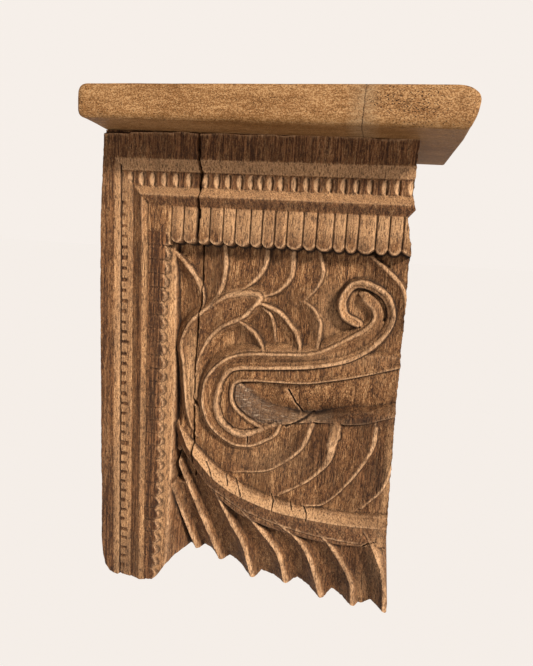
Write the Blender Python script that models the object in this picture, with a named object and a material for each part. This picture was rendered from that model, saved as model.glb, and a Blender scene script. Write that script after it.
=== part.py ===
"""A shelf on a carved wooden corbel.

Two pieces: one thick carved block that hangs flat against a wall, and a plank that lies on it.
Sizes are millimetres, turned to metres where the meshes are made. The carving is drawn on the
block's face: x runs right from the block's left side, z runs up from the block's top left
corner, down is the same as z but counted downwards, and a height stands forward of the plain
border. The origin is the middle of the block's flat back, the wall is at Y = 0, and the
carving faces -Y.
"""
import bmesh
import bpy
import numpy as np

MM = 0.001

# Main sizes
BLOCK_WIDTH = 334.0
BLOCK_HEIGHT = 524.0
BLOCK_DEPTH = 158.0
PLANK_LENGTH = 380.0
PLANK_DEPTH = 213.0
PLANK_THICKNESS = 32.2
PLANK_START = -1.2
PLANK_END_RAKE = 6.0
PLANK_ROUNDING = 4.5
UNDERSIDE_FALL = 5.2 / 380.0
GAP = 0.3
ORIGIN_X = BLOCK_WIDTH / 2
ORIGIN_Z = -BLOCK_HEIGHT / 2

# The L-shaped frame: how far in from the block's top (band) and left side (leg) each moulding starts
BAND_START = 46.0
LEG_START = 22.0
BAND_BEAD = 11.0
LEG_BEAD = 9.0
BEAD_SLOPE = ((-1.0, 0.0), (-0.8, -0.4), (-0.14, -1.6))
BEAD_GROOVE_WIDTH = 1.2
BEAD_GROOVE_HEIGHT = -4.5
DENTIL_HEIGHT = -2.5
DENTIL_WIDTH = 13.5
DENTIL_PITCH = 12.9
DENTIL_START_X = 34.0
DENTIL_START_DOWN = 56.0
CHIP_LENGTH = 5.5
CHIP_DEPTH = 3.5
LEDGE_CREST = 24.0
LEDGE_FLAT = 1.5
LEDGE_FOOT_HEIGHT = -4.0
LEDGE_HEIGHT = 5.0
BAND_TAB_ROOT = 33.0
LEG_TAB_ROOT = 31.0
TAB_ROOT_HEIGHT = 0.5
CORNER_HEIGHT = 1.0

# The tabs that hang from the band, and those that lie along the leg
FRINGE_END = 72.0
FRINGE_ROUNDING = 5.0
FRINGE_START = 80.0
FRINGE_WIDTHS = (14, 15, 14.5, 14.5, 13.5, 16.5, 12.5, 13.5, 13, 17, 14, 17.5, 12.5, 12.5, 18, 13, 13.5)
FRINGE_RISE = 2.5
FRINGE_CROWN = 0.8
LEG_TABS_DOWN = 106.0
LEG_TAB_PITCH = 15.4
LEG_TAB_END = ((106, 79), (524, 66))
LEG_TAB_ROUNDING = 6.0
LEG_TAB_CROWN = 1.0
SLOT_WIDTH = 2.0
SLOT_DEPTH = 3.0
LEG_WALL_TOP = -3.0
LEG_WALL_SLOPE = 3.2

# The ground of the carved panel, and the deep channel at its left along the leg
PANEL_TOP = -17.0
PANEL_LOW = -13.0
PANEL_CHANGE = ((290, PANEL_TOP), (330, PANEL_LOW))
CHANNEL_FLOOR = ((118, -17), (180, -20), (350, -30), (405, -42), (520, -74))
CHANNEL_WIDTH = 18.0

# Leaf edges, each drawn downwards: points, lift above the ground along it, width of its hollowed body
LEAVES = (
    (((82, -128), (93, -139), (105, -152), (113, -168), (117, -190)), (7, 6, 4), 20),
    (((135, -112), (139, -124), (139, -149), (133, -172), (116, -192)), (5, 5, 5, 4), 26),
    (((186, -112), (184, -134), (177, -149), (162, -162), (141, -172)), (5, 5, 5, 4), 40),
    (((213, -112), (214, -130), (212, -148), (200, -163), (181, -171)), (5, 5, 5, 4), 32),
    (((240, -112), (246, -134), (246, -145), (240, -158), (228, -172)), (5, 5, 5, 4), 32),
    (((228, -172), (239, -179), (245, -188), (248, -199), (246, -226)), (4, 6, 7, 8), 26),
    (((156, -197), (169, -206), (179, -215), (190, -233)), (6, 7, 8), 20),
    (((180, -177), (201, -185), (215, -198), (224, -210), (229, -230)), (7, 7, 8, 8), 22),
    (((184, -183), (193, -190), (197, -201), (199, -218)), (4, 4, 3), 12),
    (((296, -120), (316, -136), (329, -149), (335, -166), (338, -190)), (7, 9, 9, 6), 22),
    (((211, -312), (207, -323), (195, -332), (179, -340), (160, -341)), (6, 6, 5, 4), 18),
    (((247, -308), (240, -330), (229, -345), (212, -359), (196, -368), (160, -375)), (6, 6, 5, 2), 30),
    (((275, -306), (274, -332), (267, -351), (246, -373), (213, -396)), (7, 7, 5, 2), 32),
    (((316, -304), (315, -323), (306, -344), (290, -370), (266, -397), (244, -403)), (6, 6, 6, 4), 34),
    (((340, -316), (335, -350), (327, -374), (308, -396)), (5, 5, 4), 26),
)
LEAF_HOLLOWING = 1.7
LEAF_STEP = ((0, 1), (0.8, 0.75), (2.6, 0))

# The hood leaf: one edge that runs up the panel's left, over its tip and back down inside
HOOD = ((114, -338), (106, -325), (97, -304), (92, -277), (89, -250), (90, -232), (96, -216), (106, -201),
        (129, -182), (143, -173), (158, -168), (172, -167), (182, -171), (174, -182), (164, -193), (152, -200),
        (139, -207), (128, -218), (120, -231), (114, -246), (110, -266), (109, -290))
HOOD_HEIGHTS = (-11, -6, -5, -4.5, -4, -4, -4, -4, -5, -6, -8, -13)
HOOD_FLANK = ((0, 0), (1.5, 1), (9, 11), (16, 20))
HOOD_TROUGH = ((0, 0), (2, 1.2), (7, 3.6), (14, 4.2))

# The scroll: its outer crest with the inner curl, its inner crest with the rim of the volute
OUTER_CREST = ((179, -340), (163, -341), (146, -334), (132, -322), (124, -307), (121, -290), (126, -264),
               (147, -242), (173, -234), (210, -231), (246, -226), (281, -206), (297, -195), (304, -184),
               (302, -174), (292, -165))
INNER_CREST = ((206, -311), (193, -318), (178, -325), (164, -328), (149, -320), (140, -309), (137, -294),
               (140, -274), (148, -258), (162, -251), (200, -247), (245, -241), (282, -230), (310, -209),
               (323, -183), (316, -160), (295, -148), (278, -150), (268, -167), (272, -184), (287, -192))
STEM_END_OUTER = (297, -195)
STEM_END_INNER = (323, -183)
SCROLL_HEIGHTS = (-6, -4, -3, -3, -3, -3)
SCROLL_FLOOR = -8.5
SCROLL_WALL = 1.4
SCROLL_FLANK = ((0, 0), (1.5, 0.8), (8, 9), (14, 18))
SCROLL_TROUGH = ((0, 0), (2, 1.2), (8, 5.5), (12, 14))
SCROLL_STEP = ((0, 0), (2, 0.4), (3.2, 5.5), (6, 14))

# The band inside the scroll, and the hollow within it: a recess above a groove, and a jaw below it
LIP = ((199, -314), (191, -316), (178, -311), (167, -304), (158, -295), (154, -284), (157, -270), (170, -265),
       (207, -263), (238, -261), (269, -254), (298, -246), (340, -232))
JAW_EDGE = ((157, -270), (156, -284), (159, -294), (167, -302), (178, -308), (193, -311), (210, -312),
            (228, -309), (250, -305), (272, -304), (302, -301), (345, -285))
GROOVE = ((170, -275), (178, -283), (189, -290), (206, -294), (229, -298), (247, -298), (262, -293),
          (286, -286), (313, -281), (345, -271))
GROOVE_HEIGHTS = (-13, -22, -27, -28, -24, -21, -20)
BAND_RIGHT_END = (345, -223)
BAND_HEIGHT = -8.5
LIP_HEIGHT = -5.0
LIP_SLOPE = ((0, 0), (1.5, 0.6), (5, 3.5), (9, 9))
RECESS_WALL = ((0, -5), (2.5, -13))
JAW_RISE = ((0, 0.0), (0.5, 0.10), (0.8, 0.35), (1, 1.0))
JAW_HEIGHT = -7.5

# The big ridge that sweeps across the foot of the panel
SWEEP = ((94, -330), (106, -350), (118, -364), (136, -382), (160, -397), (192, -408), (220, -414),
         (262, -417), (300, -417), (340, -414))
SWEEP_HEIGHTS = ((0, -9), (0.08, -2.5), (1, -3.5))
SWEEP_BEVEL = ((0, 0), (11, 5), (13, 9), (16, 18))
SWEEP_FACE = ((0, 0), (1, 9), (1.12, 13), (1.5, 30))
SWEEP_WIDTHS = (9, 13, 24, 26, 28, 26)
SWEEP_REACH = 40.0
TIPS_START_DOWN = 360.0

# Leaf tips below the ridge, each drawn downwards: its crest, and the crest's height at top and tip
TIPS = (
    (((74, -395), (90, -453), (107, -503)), (-20, -52)),
    (((91, -372), (115, -438), (141, -509)), (-13, -44)),
    (((138, -402), (159, -447), (173, -474), (185, -522)), (-12, -35)),
    (((170, -418), (197, -450), (217, -478), (227, -517)), (-12, -30)),
    (((210, -424), (242, -453), (257, -480), (271, -525)), (-12, -24)),
    (((258, -428), (287, -463), (304, -493), (308, -524)), (-12, -18)),
    (((312, -420), (330, -452), (341, -486), (344, -523)), (-9, -10)),
)
TIP_BEVEL_WIDTH = 8.0
TIP_BEVEL_DROP = 10.0
TIP_HOLLOWING = 1.5

# The long split in the block
SPLIT_X = 111.0
SPLIT_END_DOWN = 389.0
SPLIT_WIDTH = 2.0
SPLIT_DEPTH = 22.0
SPLIT_WANDER = 1.5
SPLIT_WAVE = 47.0

# The block's outline: its sides as (down, x), its foot as (x, down), and the foot of its flat back
LEFT_SIDE = ((0, 0), (54, -2), (100, -3.5), (187, -3), (304, -1), (391, 0), (400, 1), (524, 1.5))
RIGHT_SIDE = ((0, 333), (60, 332), (72, 335), (78, 328), (105, 334), (118, 335), (300, 336), (447, 339),
              (453, 337), (475, 343), (510, 347), (524, 347))
FOOT = ((0, 478), (2, 498), (6, 512), (13, 520), (22, 524), (56, 524), (68, 522), (74, 516), (79, 508),
        (86, 503), (111, 503), (116, 500), (141, 510), (147, 509), (151, 507), (185, 521), (190, 520),
        (194, 513), (226, 517), (233, 517), (240, 512), (270, 525), (276, 524), (282, 514), (306, 524),
        (314, 523), (321, 515), (342, 523), (347, 522))
BACK_FOOT = ((0, 470), (8, 520), (20, 524), (70, 524), (80, 505), (347, 505))

# The net of points that carries the face
GRID_STEP = 1.9
SPLIT_COLUMNS = (SPLIT_X - 1, SPLIT_X, SPLIT_X + 1)
FOOT_CHANGES_FROM = 440.0
RIGHT_CHANGES_FROM = 300.0
LEFT_CHANGES_FROM = 13.0
EDGE_NEAR = 2.0
FACE_TRIANGLES = 8700


def read(table, value):
    """The value's partner in a table of pairs, with straight lines between the pairs."""
    return np.interp(value, *zip(*table))


def spread(values, share):
    """Values spaced evenly along a line, read at a share of its length."""
    return np.interp(share, np.linspace(0, 1, len(values)), values)


def curve(points, steps=7):
    """Points along a smooth curve through the given ones."""
    p = np.array(points, float)
    p = np.vstack([2 * p[0] - p[1], p, 2 * p[-1] - p[-2]])
    t = np.linspace(0, 1, steps, endpoint=False)[:, None]
    spans = []
    for a, b, c, d in zip(p, p[1:], p[2:], p[3:]):
        spans.append(b + 0.5 * t * (c - a + t * (2 * a - 5 * b + 4 * c - d + t * (3 * b - a - 3 * c + d))))
    return np.vstack(spans + [p[-2:-1]])


def beside(line, x, z, reach):
    """What lies within reach of a line: mask, distance, side (1 is left of travel) and share of its length."""
    low, high = line.min(0) - reach, line.max(0) + reach
    near = (x > low[0]) & (x < high[0]) & (z > low[1]) & (z < high[1])
    px, pz = x[near], z[near]
    best = np.full(px.shape, np.inf)
    side = np.ones(px.shape)
    share = np.zeros(px.shape)
    lengths = np.hypot(*np.diff(line, axis=0).T)
    run = 0.0
    for a, b, length in zip(line, line[1:], lengths):
        if length == 0:
            continue
        dx, dz = (b - a) / length
        t = np.clip((px - a[0]) * dx + (pz - a[1]) * dz, 0, length)
        away_x, away_z = px - a[0] - t * dx, pz - a[1] - t * dz
        away = np.hypot(away_x, away_z)
        closer = away < best
        best[closer] = away[closer]
        side[closer] = np.where(dx * away_z - dz * away_x >= 0, 1, -1)[closer]
        share[closer] = ((run + t) / lengths.sum())[closer]
        run += length
    kept = best < reach
    near[near] = kept
    return near, best[kept], side[kept], share[kept]


def within(outline, x, z):
    """True where (x, z) is inside a closed outline."""
    result = np.zeros(x.shape, bool)
    for (ax, az), (bx, bz) in zip(outline, np.roll(outline, -1, axis=0)):
        if az != bz:
            crosses = (az > z) != (bz > z)
            result ^= crosses & (x < (bx - ax) * (z - az) / (bz - az) + ax)
    return result


def raise_crest(h, x, z, line, heights, left, right):
    """Raise a crest along a line; left and right give how far it has fallen at each distance from it."""
    near, distance, side, share = beside(line, x, z, min(left[-1][0], right[-1][0]))
    fall = np.where(side > 0, read(left, distance), read(right, distance))
    h[near] = np.maximum(h[near], spread(heights, share) - fall)


def raise_floor(h, x, z, outline, level):
    """Raise everything inside an outline to at least a level, with sloping walls around it."""
    closed = np.vstack([outline, outline[:1]])
    near, distance, side, share = beside(closed, x, z, abs(PANEL_TOP) / SCROLL_WALL)
    h[near] = np.maximum(h[near], level - SCROLL_WALL * distance)
    inside = within(outline, x, z)
    h[inside] = np.maximum(h[inside], level)


def up_to(points, last):
    """The points of a line up to the named one."""
    return points[:points.index(last) + 1]


def moulding(x, z):
    """Height of the frame's straight mouldings: bead, groove, dentils and ledge, met in a mitre."""
    band = -z - BAND_START
    leg = x - LEG_START
    q = np.minimum(band, leg)
    on_band = band < leg
    h = read(BEAD_SLOPE, q / np.where(on_band, BAND_BEAD, LEG_BEAD))
    h = np.where(q > -BEAD_GROOVE_WIDTH, BEAD_GROOVE_HEIGHT, h)
    along = np.where(on_band, x - DENTIL_START_X, -z - DENTIL_START_DOWN) / DENTIL_PITCH
    before = (np.ceil(along) - along) * DENTIL_PITCH
    across = 2 * q / DENTIL_WIDTH - 1
    length = CHIP_LENGTH * np.sqrt(np.maximum(1 - across ** 2, 1e-6))
    dentil = DENTIL_HEIGHT - np.maximum(0, CHIP_DEPTH * (1 - before / length))
    h = np.where(q > 0, dentil, h)
    root = np.where(on_band, BAND_TAB_ROOT, LEG_TAB_ROOT)
    rise = (LEDGE_HEIGHT - LEDGE_FOOT_HEIGHT) * (q - DENTIL_WIDTH) / (LEDGE_CREST - DENTIL_WIDTH)
    fall = (LEDGE_HEIGHT - TAB_ROOT_HEIGHT) * (q - LEDGE_CREST - LEDGE_FLAT) / (root - LEDGE_CREST - LEDGE_FLAT)
    ledge = np.minimum(LEDGE_FOOT_HEIGHT + rise, LEDGE_HEIGHT - np.maximum(0, fall))
    return np.where(q > DENTIL_WIDTH, ledge, h), q < root


def slots(places, along):
    """Depth of the V cuts at the given places."""
    depth = np.zeros(along.shape)
    for place in places:
        depth = np.maximum(depth, SLOT_DEPTH * (1 - np.abs(along - place) / (SLOT_WIDTH / 2)))
    return depth


def fringe_slots():
    """Places of the cuts between the tabs that hang from the band."""
    return FRINGE_START + np.concatenate([[0], np.cumsum(FRINGE_WIDTHS)])


def fringe(x, z):
    """Height of the tabs that hang from the band, and where they are."""
    cuts = np.append(fringe_slots(), x.max() + 1)
    tab = np.clip(np.searchsorted(cuts, x) - 1, 0, len(cuts) - 2)
    across = 2 * (x - cuts[tab]) / (cuts[tab + 1] - cuts[tab]) - 1
    q = -z - BAND_START
    end = FRINGE_END - FRINGE_ROUNDING * across ** 2
    share = (q - BAND_TAB_ROOT) / (FRINGE_END - BAND_TAB_ROOT)
    h = TAB_ROOT_HEIGHT + FRINGE_RISE * share + FRINGE_CROWN * (1 - across ** 2) - slots(cuts[:-1], x)
    return h, (q >= BAND_TAB_ROOT) & (q < end) & (x >= FRINGE_START)


def leg_tab_cuts():
    """Places, down from the top, of the cuts between the tabs of the leg."""
    return np.arange(LEG_TABS_DOWN, BLOCK_HEIGHT - LEG_TAB_PITCH / 2, LEG_TAB_PITCH)


def leg_tabs(x, z):
    """Height of the tabs of the leg, and of the wall that falls from their rounded ends."""
    end = read(LEG_TAB_END, -z)
    across = 2 * (((-z - LEG_TABS_DOWN) / LEG_TAB_PITCH) % 1.0) - 1
    tab = TAB_ROOT_HEIGHT + LEG_TAB_CROWN * (1 - across ** 2) - slots(leg_tab_cuts(), -z)
    wall = LEG_WALL_TOP - LEG_WALL_SLOPE * (x - end + LEG_TAB_ROUNDING)
    return np.where(x < end - LEG_TAB_ROUNDING * across ** 2, tab, wall)


def leaf_tips(x, z):
    """Height of the overlapping leaf tips: each hollow rises to its crest, then a bevel faces right."""
    h = read(CHANNEL_FLOOR, -z)
    foot = h
    left_x = read(LEG_TAB_END, -z) + CHANNEL_WIDTH - LEG_TAB_ROUNDING
    for points, (top, tip) in TIPS:
        line = curve(points)[::-1]
        crest_x = np.interp(z, line[:, 1], line[:, 0])
        crest = read(((points[-1][1], tip), (points[0][1], top)), z)
        share = np.clip((x - left_x) / np.maximum(crest_x - left_x, 1), 0, 1)
        h = np.where(x >= left_x, foot + (crest - foot) * share ** TIP_HOLLOWING, h)
        beyond = np.clip((x - crest_x) / TIP_BEVEL_WIDTH, 0, 1)
        foot = crest - TIP_BEVEL_DROP
        h = np.where(x > crest_x, crest + (foot - crest) * beyond, h)
        left_x = crest_x + TIP_BEVEL_WIDTH
    return h


def panel(x, z):
    """Height of the leaves and of the ground that they stand on."""
    floor = read(CHANNEL_FLOOR, -z)
    rise = np.clip((x - read(LEG_TAB_END, -z)) / CHANNEL_WIDTH, 0, 1)
    ground = floor + (read(PANEL_CHANGE, -z) - floor) * rise
    h = ground.copy()
    for points, lifts, width in LEAVES:
        near, distance, side, share = beside(curve(points), x, z, width)
        body = (1 - distance / width) ** LEAF_HOLLOWING
        kept = np.where(side > 0, read(LEAF_STEP, distance), body)
        h[near] = np.maximum(h[near], ground[near] + spread(lifts, share) * kept)
    return h


def scroll(h, x, z):
    """The hood leaf, the scroll with its volute, and the band inside the scroll with its lip."""
    raise_crest(h, x, z, curve(HOOD), HOOD_HEIGHTS, HOOD_FLANK, HOOD_TROUGH)
    outer = curve(up_to(OUTER_CREST, STEM_END_OUTER))
    inner = curve(up_to(INNER_CREST, STEM_END_INNER))
    raise_floor(h, x, z, np.vstack([outer, inner[::-1]]), SCROLL_FLOOR)
    lip = curve(LIP)
    under_stem = inner[inner[:, 1] < BAND_RIGHT_END[1]]
    raise_floor(h, x, z, np.vstack([under_stem, [BAND_RIGHT_END], lip[::-1]]), BAND_HEIGHT)
    raise_crest(h, x, z, lip, (LIP_HEIGHT, LIP_HEIGHT), LIP_SLOPE, LIP_SLOPE)
    raise_crest(h, x, z, curve(OUTER_CREST), SCROLL_HEIGHTS, SCROLL_FLANK, SCROLL_TROUGH)
    raise_crest(h, x, z, curve(INNER_CREST), SCROLL_HEIGHTS, SCROLL_TROUGH, SCROLL_STEP)


def hollow(h, x, z):
    """The hollow inside the scroll: a recess that deepens to the groove, and the jaw that rises below it."""
    lip, jaw, groove = curve(LIP[6:]), curve(JAW_EDGE), curve(GROOVE)
    inside = within(np.vstack([lip[::-1], jaw]), x, z)
    px, pz = x[inside], z[inside]
    from_lip = beside(lip, px, pz, np.inf)[1]
    from_jaw = beside(jaw, px, pz, np.inf)[1]
    everywhere, from_groove, side, share = beside(groove, px, pz, np.inf)
    deepest = spread(GROOVE_HEIGHTS, share)
    wall = read(RECESS_WALL, from_lip)
    recess = wall + (deepest - wall) * from_lip / (from_lip + from_groove)
    sunk = read(JAW_RISE, from_jaw / (from_jaw + from_groove))
    below = JAW_HEIGHT + (deepest - JAW_HEIGHT) * sunk
    h[inside] = np.where(side > 0, recess, below)


def sweep(h, x, z):
    """The leaf tips, and the big ridge above them: a bevel over its crest and a broad face under it."""
    line = curve(SWEEP)
    crest_z = np.where(x > SWEEP[0][0], np.interp(x, line[:, 0], line[:, 1]), -TIPS_START_DOWN)
    below = z < crest_z
    h[below] = leaf_tips(x, z)[below]
    near, distance, side, share = beside(line, x, z, SWEEP_REACH)
    face = read(SWEEP_FACE, distance / spread(SWEEP_WIDTHS, share))
    bevel = read(SWEEP_BEVEL, distance)
    h[near] = np.maximum(h[near], read(SWEEP_HEIGHTS, share) - np.where(side > 0, bevel, face))


def relief(x, z):
    """Height of the whole carved face."""
    h = panel(x, z)
    scroll(h, x, z)
    hollow(h, x, z)
    sweep(h, x, z)
    down = -z
    leg_x = LEG_START + LEG_TAB_ROOT
    band_down = BAND_START + BAND_TAB_ROOT
    h = np.where((x > leg_x) & (down > LEG_TABS_DOWN), np.maximum(h, leg_tabs(x, z)), h)
    hanging, on_fringe = fringe(x, z)
    h = np.where(on_fringe, hanging, h)
    corner = (x > leg_x) & (x < FRINGE_START) & (down > band_down) & (down <= LEG_TABS_DOWN)
    h = np.where(corner, CORNER_HEIGHT, h)
    straight, on_frame = moulding(x, z)
    h = np.where(on_frame, straight, h)
    away = np.abs(x - SPLIT_X - SPLIT_WANDER * np.sin(z / SPLIT_WAVE))
    split = SPLIT_DEPTH * np.clip(1 - away / (SPLIT_WIDTH / 2), 0, 1)
    return np.where(down < SPLIT_END_DOWN, h - split, h)


def ruled(breaks, step):
    """Values that include every break and are nowhere further apart than the step."""
    breaks = np.unique(np.round(breaks, 3))
    parts = [np.linspace(a, b, int(np.ceil((b - a) / step)), endpoint=False) for a, b in zip(breaks, breaks[1:])]
    return np.append(np.concatenate(parts), breaks[-1])


def stretched(values, start, end, new_end):
    """The values, with everything beyond start moved evenly so that end lands on new_end."""
    beyond = (values - start) / (end - start)
    return np.where(beyond > 0, start + beyond * (new_end - start), values)


def face_grid():
    """Columns and rows over the face, with a line on every straight moulding, fitted to the outline."""
    cuts = fringe_slots()
    steps = np.array((-BEAD_GROOVE_WIDTH, 0, DENTIL_WIDTH, LEDGE_CREST, LEDGE_CREST + LEDGE_FLAT))
    across = [0, LEG_START - LEG_BEAD, LEG_START + LEG_TAB_ROOT, BLOCK_WIDTH, *SPLIT_COLUMNS]
    columns = ruled(np.concatenate([across, steps + LEG_START, cuts, cuts - 1, cuts + 1]), GRID_STEP)
    downwards = [0, BAND_START - BAND_BEAD, BAND_START + BAND_TAB_ROOT, BAND_START + FRINGE_END, BLOCK_HEIGHT]
    rows = ruled(np.concatenate([downwards, steps + BAND_START, leg_tab_cuts()]), GRID_STEP)
    x, down = np.meshgrid(columns, rows, indexing="ij")
    down = stretched(down, FOOT_CHANGES_FROM, BLOCK_HEIGHT, read(FOOT, x))
    x = stretched(x, RIGHT_CHANGES_FROM, BLOCK_WIDTH, read(RIGHT_SIDE, down))
    x = -stretched(-x, -LEFT_CHANGES_FROM, 0, -read(LEFT_SIDE, down))
    return x, -down


def to_world(x, height, z):
    """A point of the block's face in world metres."""
    return np.stack([(x - ORIGIN_X) * MM, (-BLOCK_DEPTH - height) * MM, (z - ORIGIN_Z) * MM], -1)


def to_face(point):
    """The face's x and z of a world point."""
    return point.x / MM + ORIGIN_X, point.z / MM + ORIGIN_Z


def wood(name, colour, roughness):
    """A plain wooden material."""
    made = bpy.data.materials.new(name)
    made.use_nodes = True
    shader = made.node_tree.nodes["Principled BSDF"]
    shader.inputs["Base Color"].default_value = (*colour, 1)
    shader.inputs["Roughness"].default_value = roughness
    made.diffuse_color = (*colour, 1)
    return made


def add_object(name, shape, finish, location):
    """An object made from a bmesh, hung under the shelf's empty."""
    mesh = bpy.data.meshes.new(name)
    shape.to_mesh(mesh)
    shape.free()
    mesh.materials.append(finish)
    made = bpy.data.objects.new(name, mesh)
    made.location = location
    made.parent = bpy.data.objects["corbel_shelf"]
    bpy.context.scene.collection.objects.link(made)
    return made


def thinned(mesh, target):
    """The same surface with fewer triangles, as a bmesh."""
    temporary = bpy.data.objects.new("thinning", mesh)
    bpy.context.scene.collection.objects.link(temporary)
    thin = temporary.modifiers.new("fewer faces", "DECIMATE")
    thin.ratio = target / len(mesh.polygons)
    evaluated = temporary.evaluated_get(bpy.context.evaluated_depsgraph_get())
    shape = bmesh.new()
    shape.from_mesh(evaluated.to_mesh())
    evaluated.to_mesh_clear()
    bpy.data.objects.remove(temporary)
    return shape


def carved_face():
    """The carved face as an open mesh, one point for each crossing of the net."""
    x, z = face_grid()
    index = np.arange(x.size).reshape(x.shape)
    a, b, c, d = (part.ravel() for part in (index[:-1, :-1], index[:-1, 1:], index[1:, 1:], index[1:, :-1]))
    triangles = np.concatenate([np.stack([a, b, c], -1), np.stack([a, c, d], -1)])
    mesh = bpy.data.meshes.new("carved_face")
    mesh.from_pydata(to_world(x, relief(x, z), z).reshape(-1, 3).tolist(), [], triangles.tolist())
    return mesh


def carved_corbel():
    """The block: the carved face, plain sides that run straight back, and a flat back."""
    shape = thinned(carved_face(), FACE_TRIANGLES)
    rim = [edge for edge in shape.edges if edge.is_boundary]
    for vert in {vert for edge in rim for vert in edge.verts}:
        x, z = to_face(vert.co)
        if z > -EDGE_NEAR:
            vert.co.z = (-UNDERSIDE_FALL * x - GAP - ORIGIN_Z) * MM
    added = bmesh.ops.extrude_edge_only(shape, edges=rim)["geom"]
    for vert in [item for item in added if isinstance(item, bmesh.types.BMVert)]:
        x, z = to_face(vert.co)
        if -z > read(FOOT, x) - EDGE_NEAR / 2:
            z = -read(BACK_FOOT, x)
        vert.co = to_world(x, -BLOCK_DEPTH, z)
    bmesh.ops.holes_fill(shape, edges=[edge for edge in shape.edges if edge.is_boundary], sides=0)
    bmesh.ops.triangulate(shape, faces=[face for face in shape.faces if len(face.verts) > 3])
    bmesh.ops.recalc_face_normals(shape, faces=shape.faces)
    return add_object("carved_corbel", shape, wood("dark carved teak", (0.23, 0.13, 0.07), 0.7), (0, 0, 0))


def shelf_board():
    """The plank: level on top, its underside lying on the block, its right end cut at a slight rake."""
    left, right = PLANK_START, PLANK_START + PLANK_LENGTH
    lower_right = right - PLANK_END_RAKE
    end_outline = ((left, -UNDERSIDE_FALL * left), (lower_right, -UNDERSIDE_FALL * lower_right),
                   (right, PLANK_THICKNESS), (left, PLANK_THICKNESS))
    shape = bmesh.new()
    corners = [shape.verts.new((x * MM, 0, z * MM)) for x, z in end_outline]
    back = shape.faces.new(corners)
    front = bmesh.ops.extrude_face_region(shape, geom=[back])["geom"]
    for vert in [item for item in front if isinstance(item, bmesh.types.BMVert)]:
        vert.co.y = -PLANK_DEPTH * MM
    bmesh.ops.recalc_face_normals(shape, faces=shape.faces)
    board = add_object("shelf_board", shape, wood("tan shelf plank", (0.55, 0.37, 0.2), 0.6),
                       (-ORIGIN_X * MM, 0, -ORIGIN_Z * MM))
    rounding = board.modifiers.new("rounded edges", "BEVEL")
    rounding.width = PLANK_ROUNDING * MM
    rounding.segments = 3
    return board


def main():
    for old in list(bpy.context.scene.objects):
        bpy.data.objects.remove(old)
    holder = bpy.data.objects.new("corbel_shelf", None)
    bpy.context.scene.collection.objects.link(holder)
    carved_corbel()
    shelf_board()


if __name__ == "__main__":
    main()
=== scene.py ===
# %% [markdown]
# # A shelf on a carved wooden corbel
#
# An old block of teak, cut from a carved door surround, hangs flat against a wall and carries a
# short plank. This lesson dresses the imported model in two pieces: the block with all its carving,
# and the plank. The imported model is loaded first, because it gives the frame that both must fit.

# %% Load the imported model
import math

import bmesh
import bpy
import numpy as np
from mathutils import Matrix, Vector


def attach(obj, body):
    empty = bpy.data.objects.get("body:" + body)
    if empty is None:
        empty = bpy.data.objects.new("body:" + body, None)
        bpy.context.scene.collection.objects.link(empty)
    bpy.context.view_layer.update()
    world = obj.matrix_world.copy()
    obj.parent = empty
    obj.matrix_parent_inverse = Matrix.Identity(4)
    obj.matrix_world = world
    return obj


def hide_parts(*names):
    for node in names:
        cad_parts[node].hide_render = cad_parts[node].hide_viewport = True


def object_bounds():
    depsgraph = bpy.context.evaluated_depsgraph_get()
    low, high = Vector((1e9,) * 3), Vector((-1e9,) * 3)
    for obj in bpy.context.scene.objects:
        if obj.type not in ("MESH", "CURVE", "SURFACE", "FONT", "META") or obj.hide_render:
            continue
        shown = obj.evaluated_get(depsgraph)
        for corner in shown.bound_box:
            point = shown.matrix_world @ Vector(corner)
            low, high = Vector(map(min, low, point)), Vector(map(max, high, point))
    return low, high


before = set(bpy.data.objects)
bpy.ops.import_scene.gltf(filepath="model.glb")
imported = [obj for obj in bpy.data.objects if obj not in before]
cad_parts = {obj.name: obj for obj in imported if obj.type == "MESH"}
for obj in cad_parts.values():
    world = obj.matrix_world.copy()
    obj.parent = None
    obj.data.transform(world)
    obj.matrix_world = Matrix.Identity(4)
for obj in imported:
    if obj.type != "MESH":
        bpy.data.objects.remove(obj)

packed_box = [[float(value) for value in corner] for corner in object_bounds()]
print("packed nodes:", sorted(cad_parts), "box:", packed_box)

# %% [markdown]
# ## The camera
#
# The shelf was seen from a little above the middle and from its right, with the camera tipped down
# and slightly rolled. The place and the angles come from fitting the plank's and the block's
# straight edges, so the picture can be set beside the photograph. The focal length was chosen, not
# fitted: 550 pixels in a frame 666 high is near a phone's, and makes the plank a plausible 213 mm
# deep. A longer one would fit the edges a little better and make everything deeper.

# %% Place the camera
CAMERA_PLACE = (0.13415, -0.73362, 0.14967)
CAMERA_TURN = 10.773
CAMERA_TILT = -9.259
CAMERA_ROLL = 3.302
FOCAL_PIXELS = 550.0
FRAME_HEIGHT = 666.0
SENSOR_HEIGHT = 36.0

camera_data = bpy.data.cameras.new("viewpoint")
camera_data.sensor_fit = "VERTICAL"
camera_data.sensor_height = SENSOR_HEIGHT
camera_data.lens = FOCAL_PIXELS * SENSOR_HEIGHT / FRAME_HEIGHT
camera_data.clip_start = 0.01
camera = bpy.data.objects.new("viewpoint", camera_data)
turned = Matrix.Rotation(math.radians(CAMERA_TURN), 4, "Z")
tilted = Matrix.Rotation(math.radians(90 + CAMERA_TILT), 4, "X")
rolled = Matrix.Rotation(math.radians(CAMERA_ROLL), 4, "Z")
camera.matrix_world = Matrix.Translation(CAMERA_PLACE) @ turned @ tilted @ rolled
bpy.context.scene.collection.objects.link(camera)
bpy.context.scene.camera = camera
print("lens: %.2f mm" % camera_data.lens)

# %% [markdown]
# ## Measures of the block and the plank
#
# Lengths are millimetres on the block's face: x runs right from its left side, z runs up from its
# top left corner, and down is the same as z counted downwards. A height stands forward of the plain
# border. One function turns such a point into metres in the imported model's frame.

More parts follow.
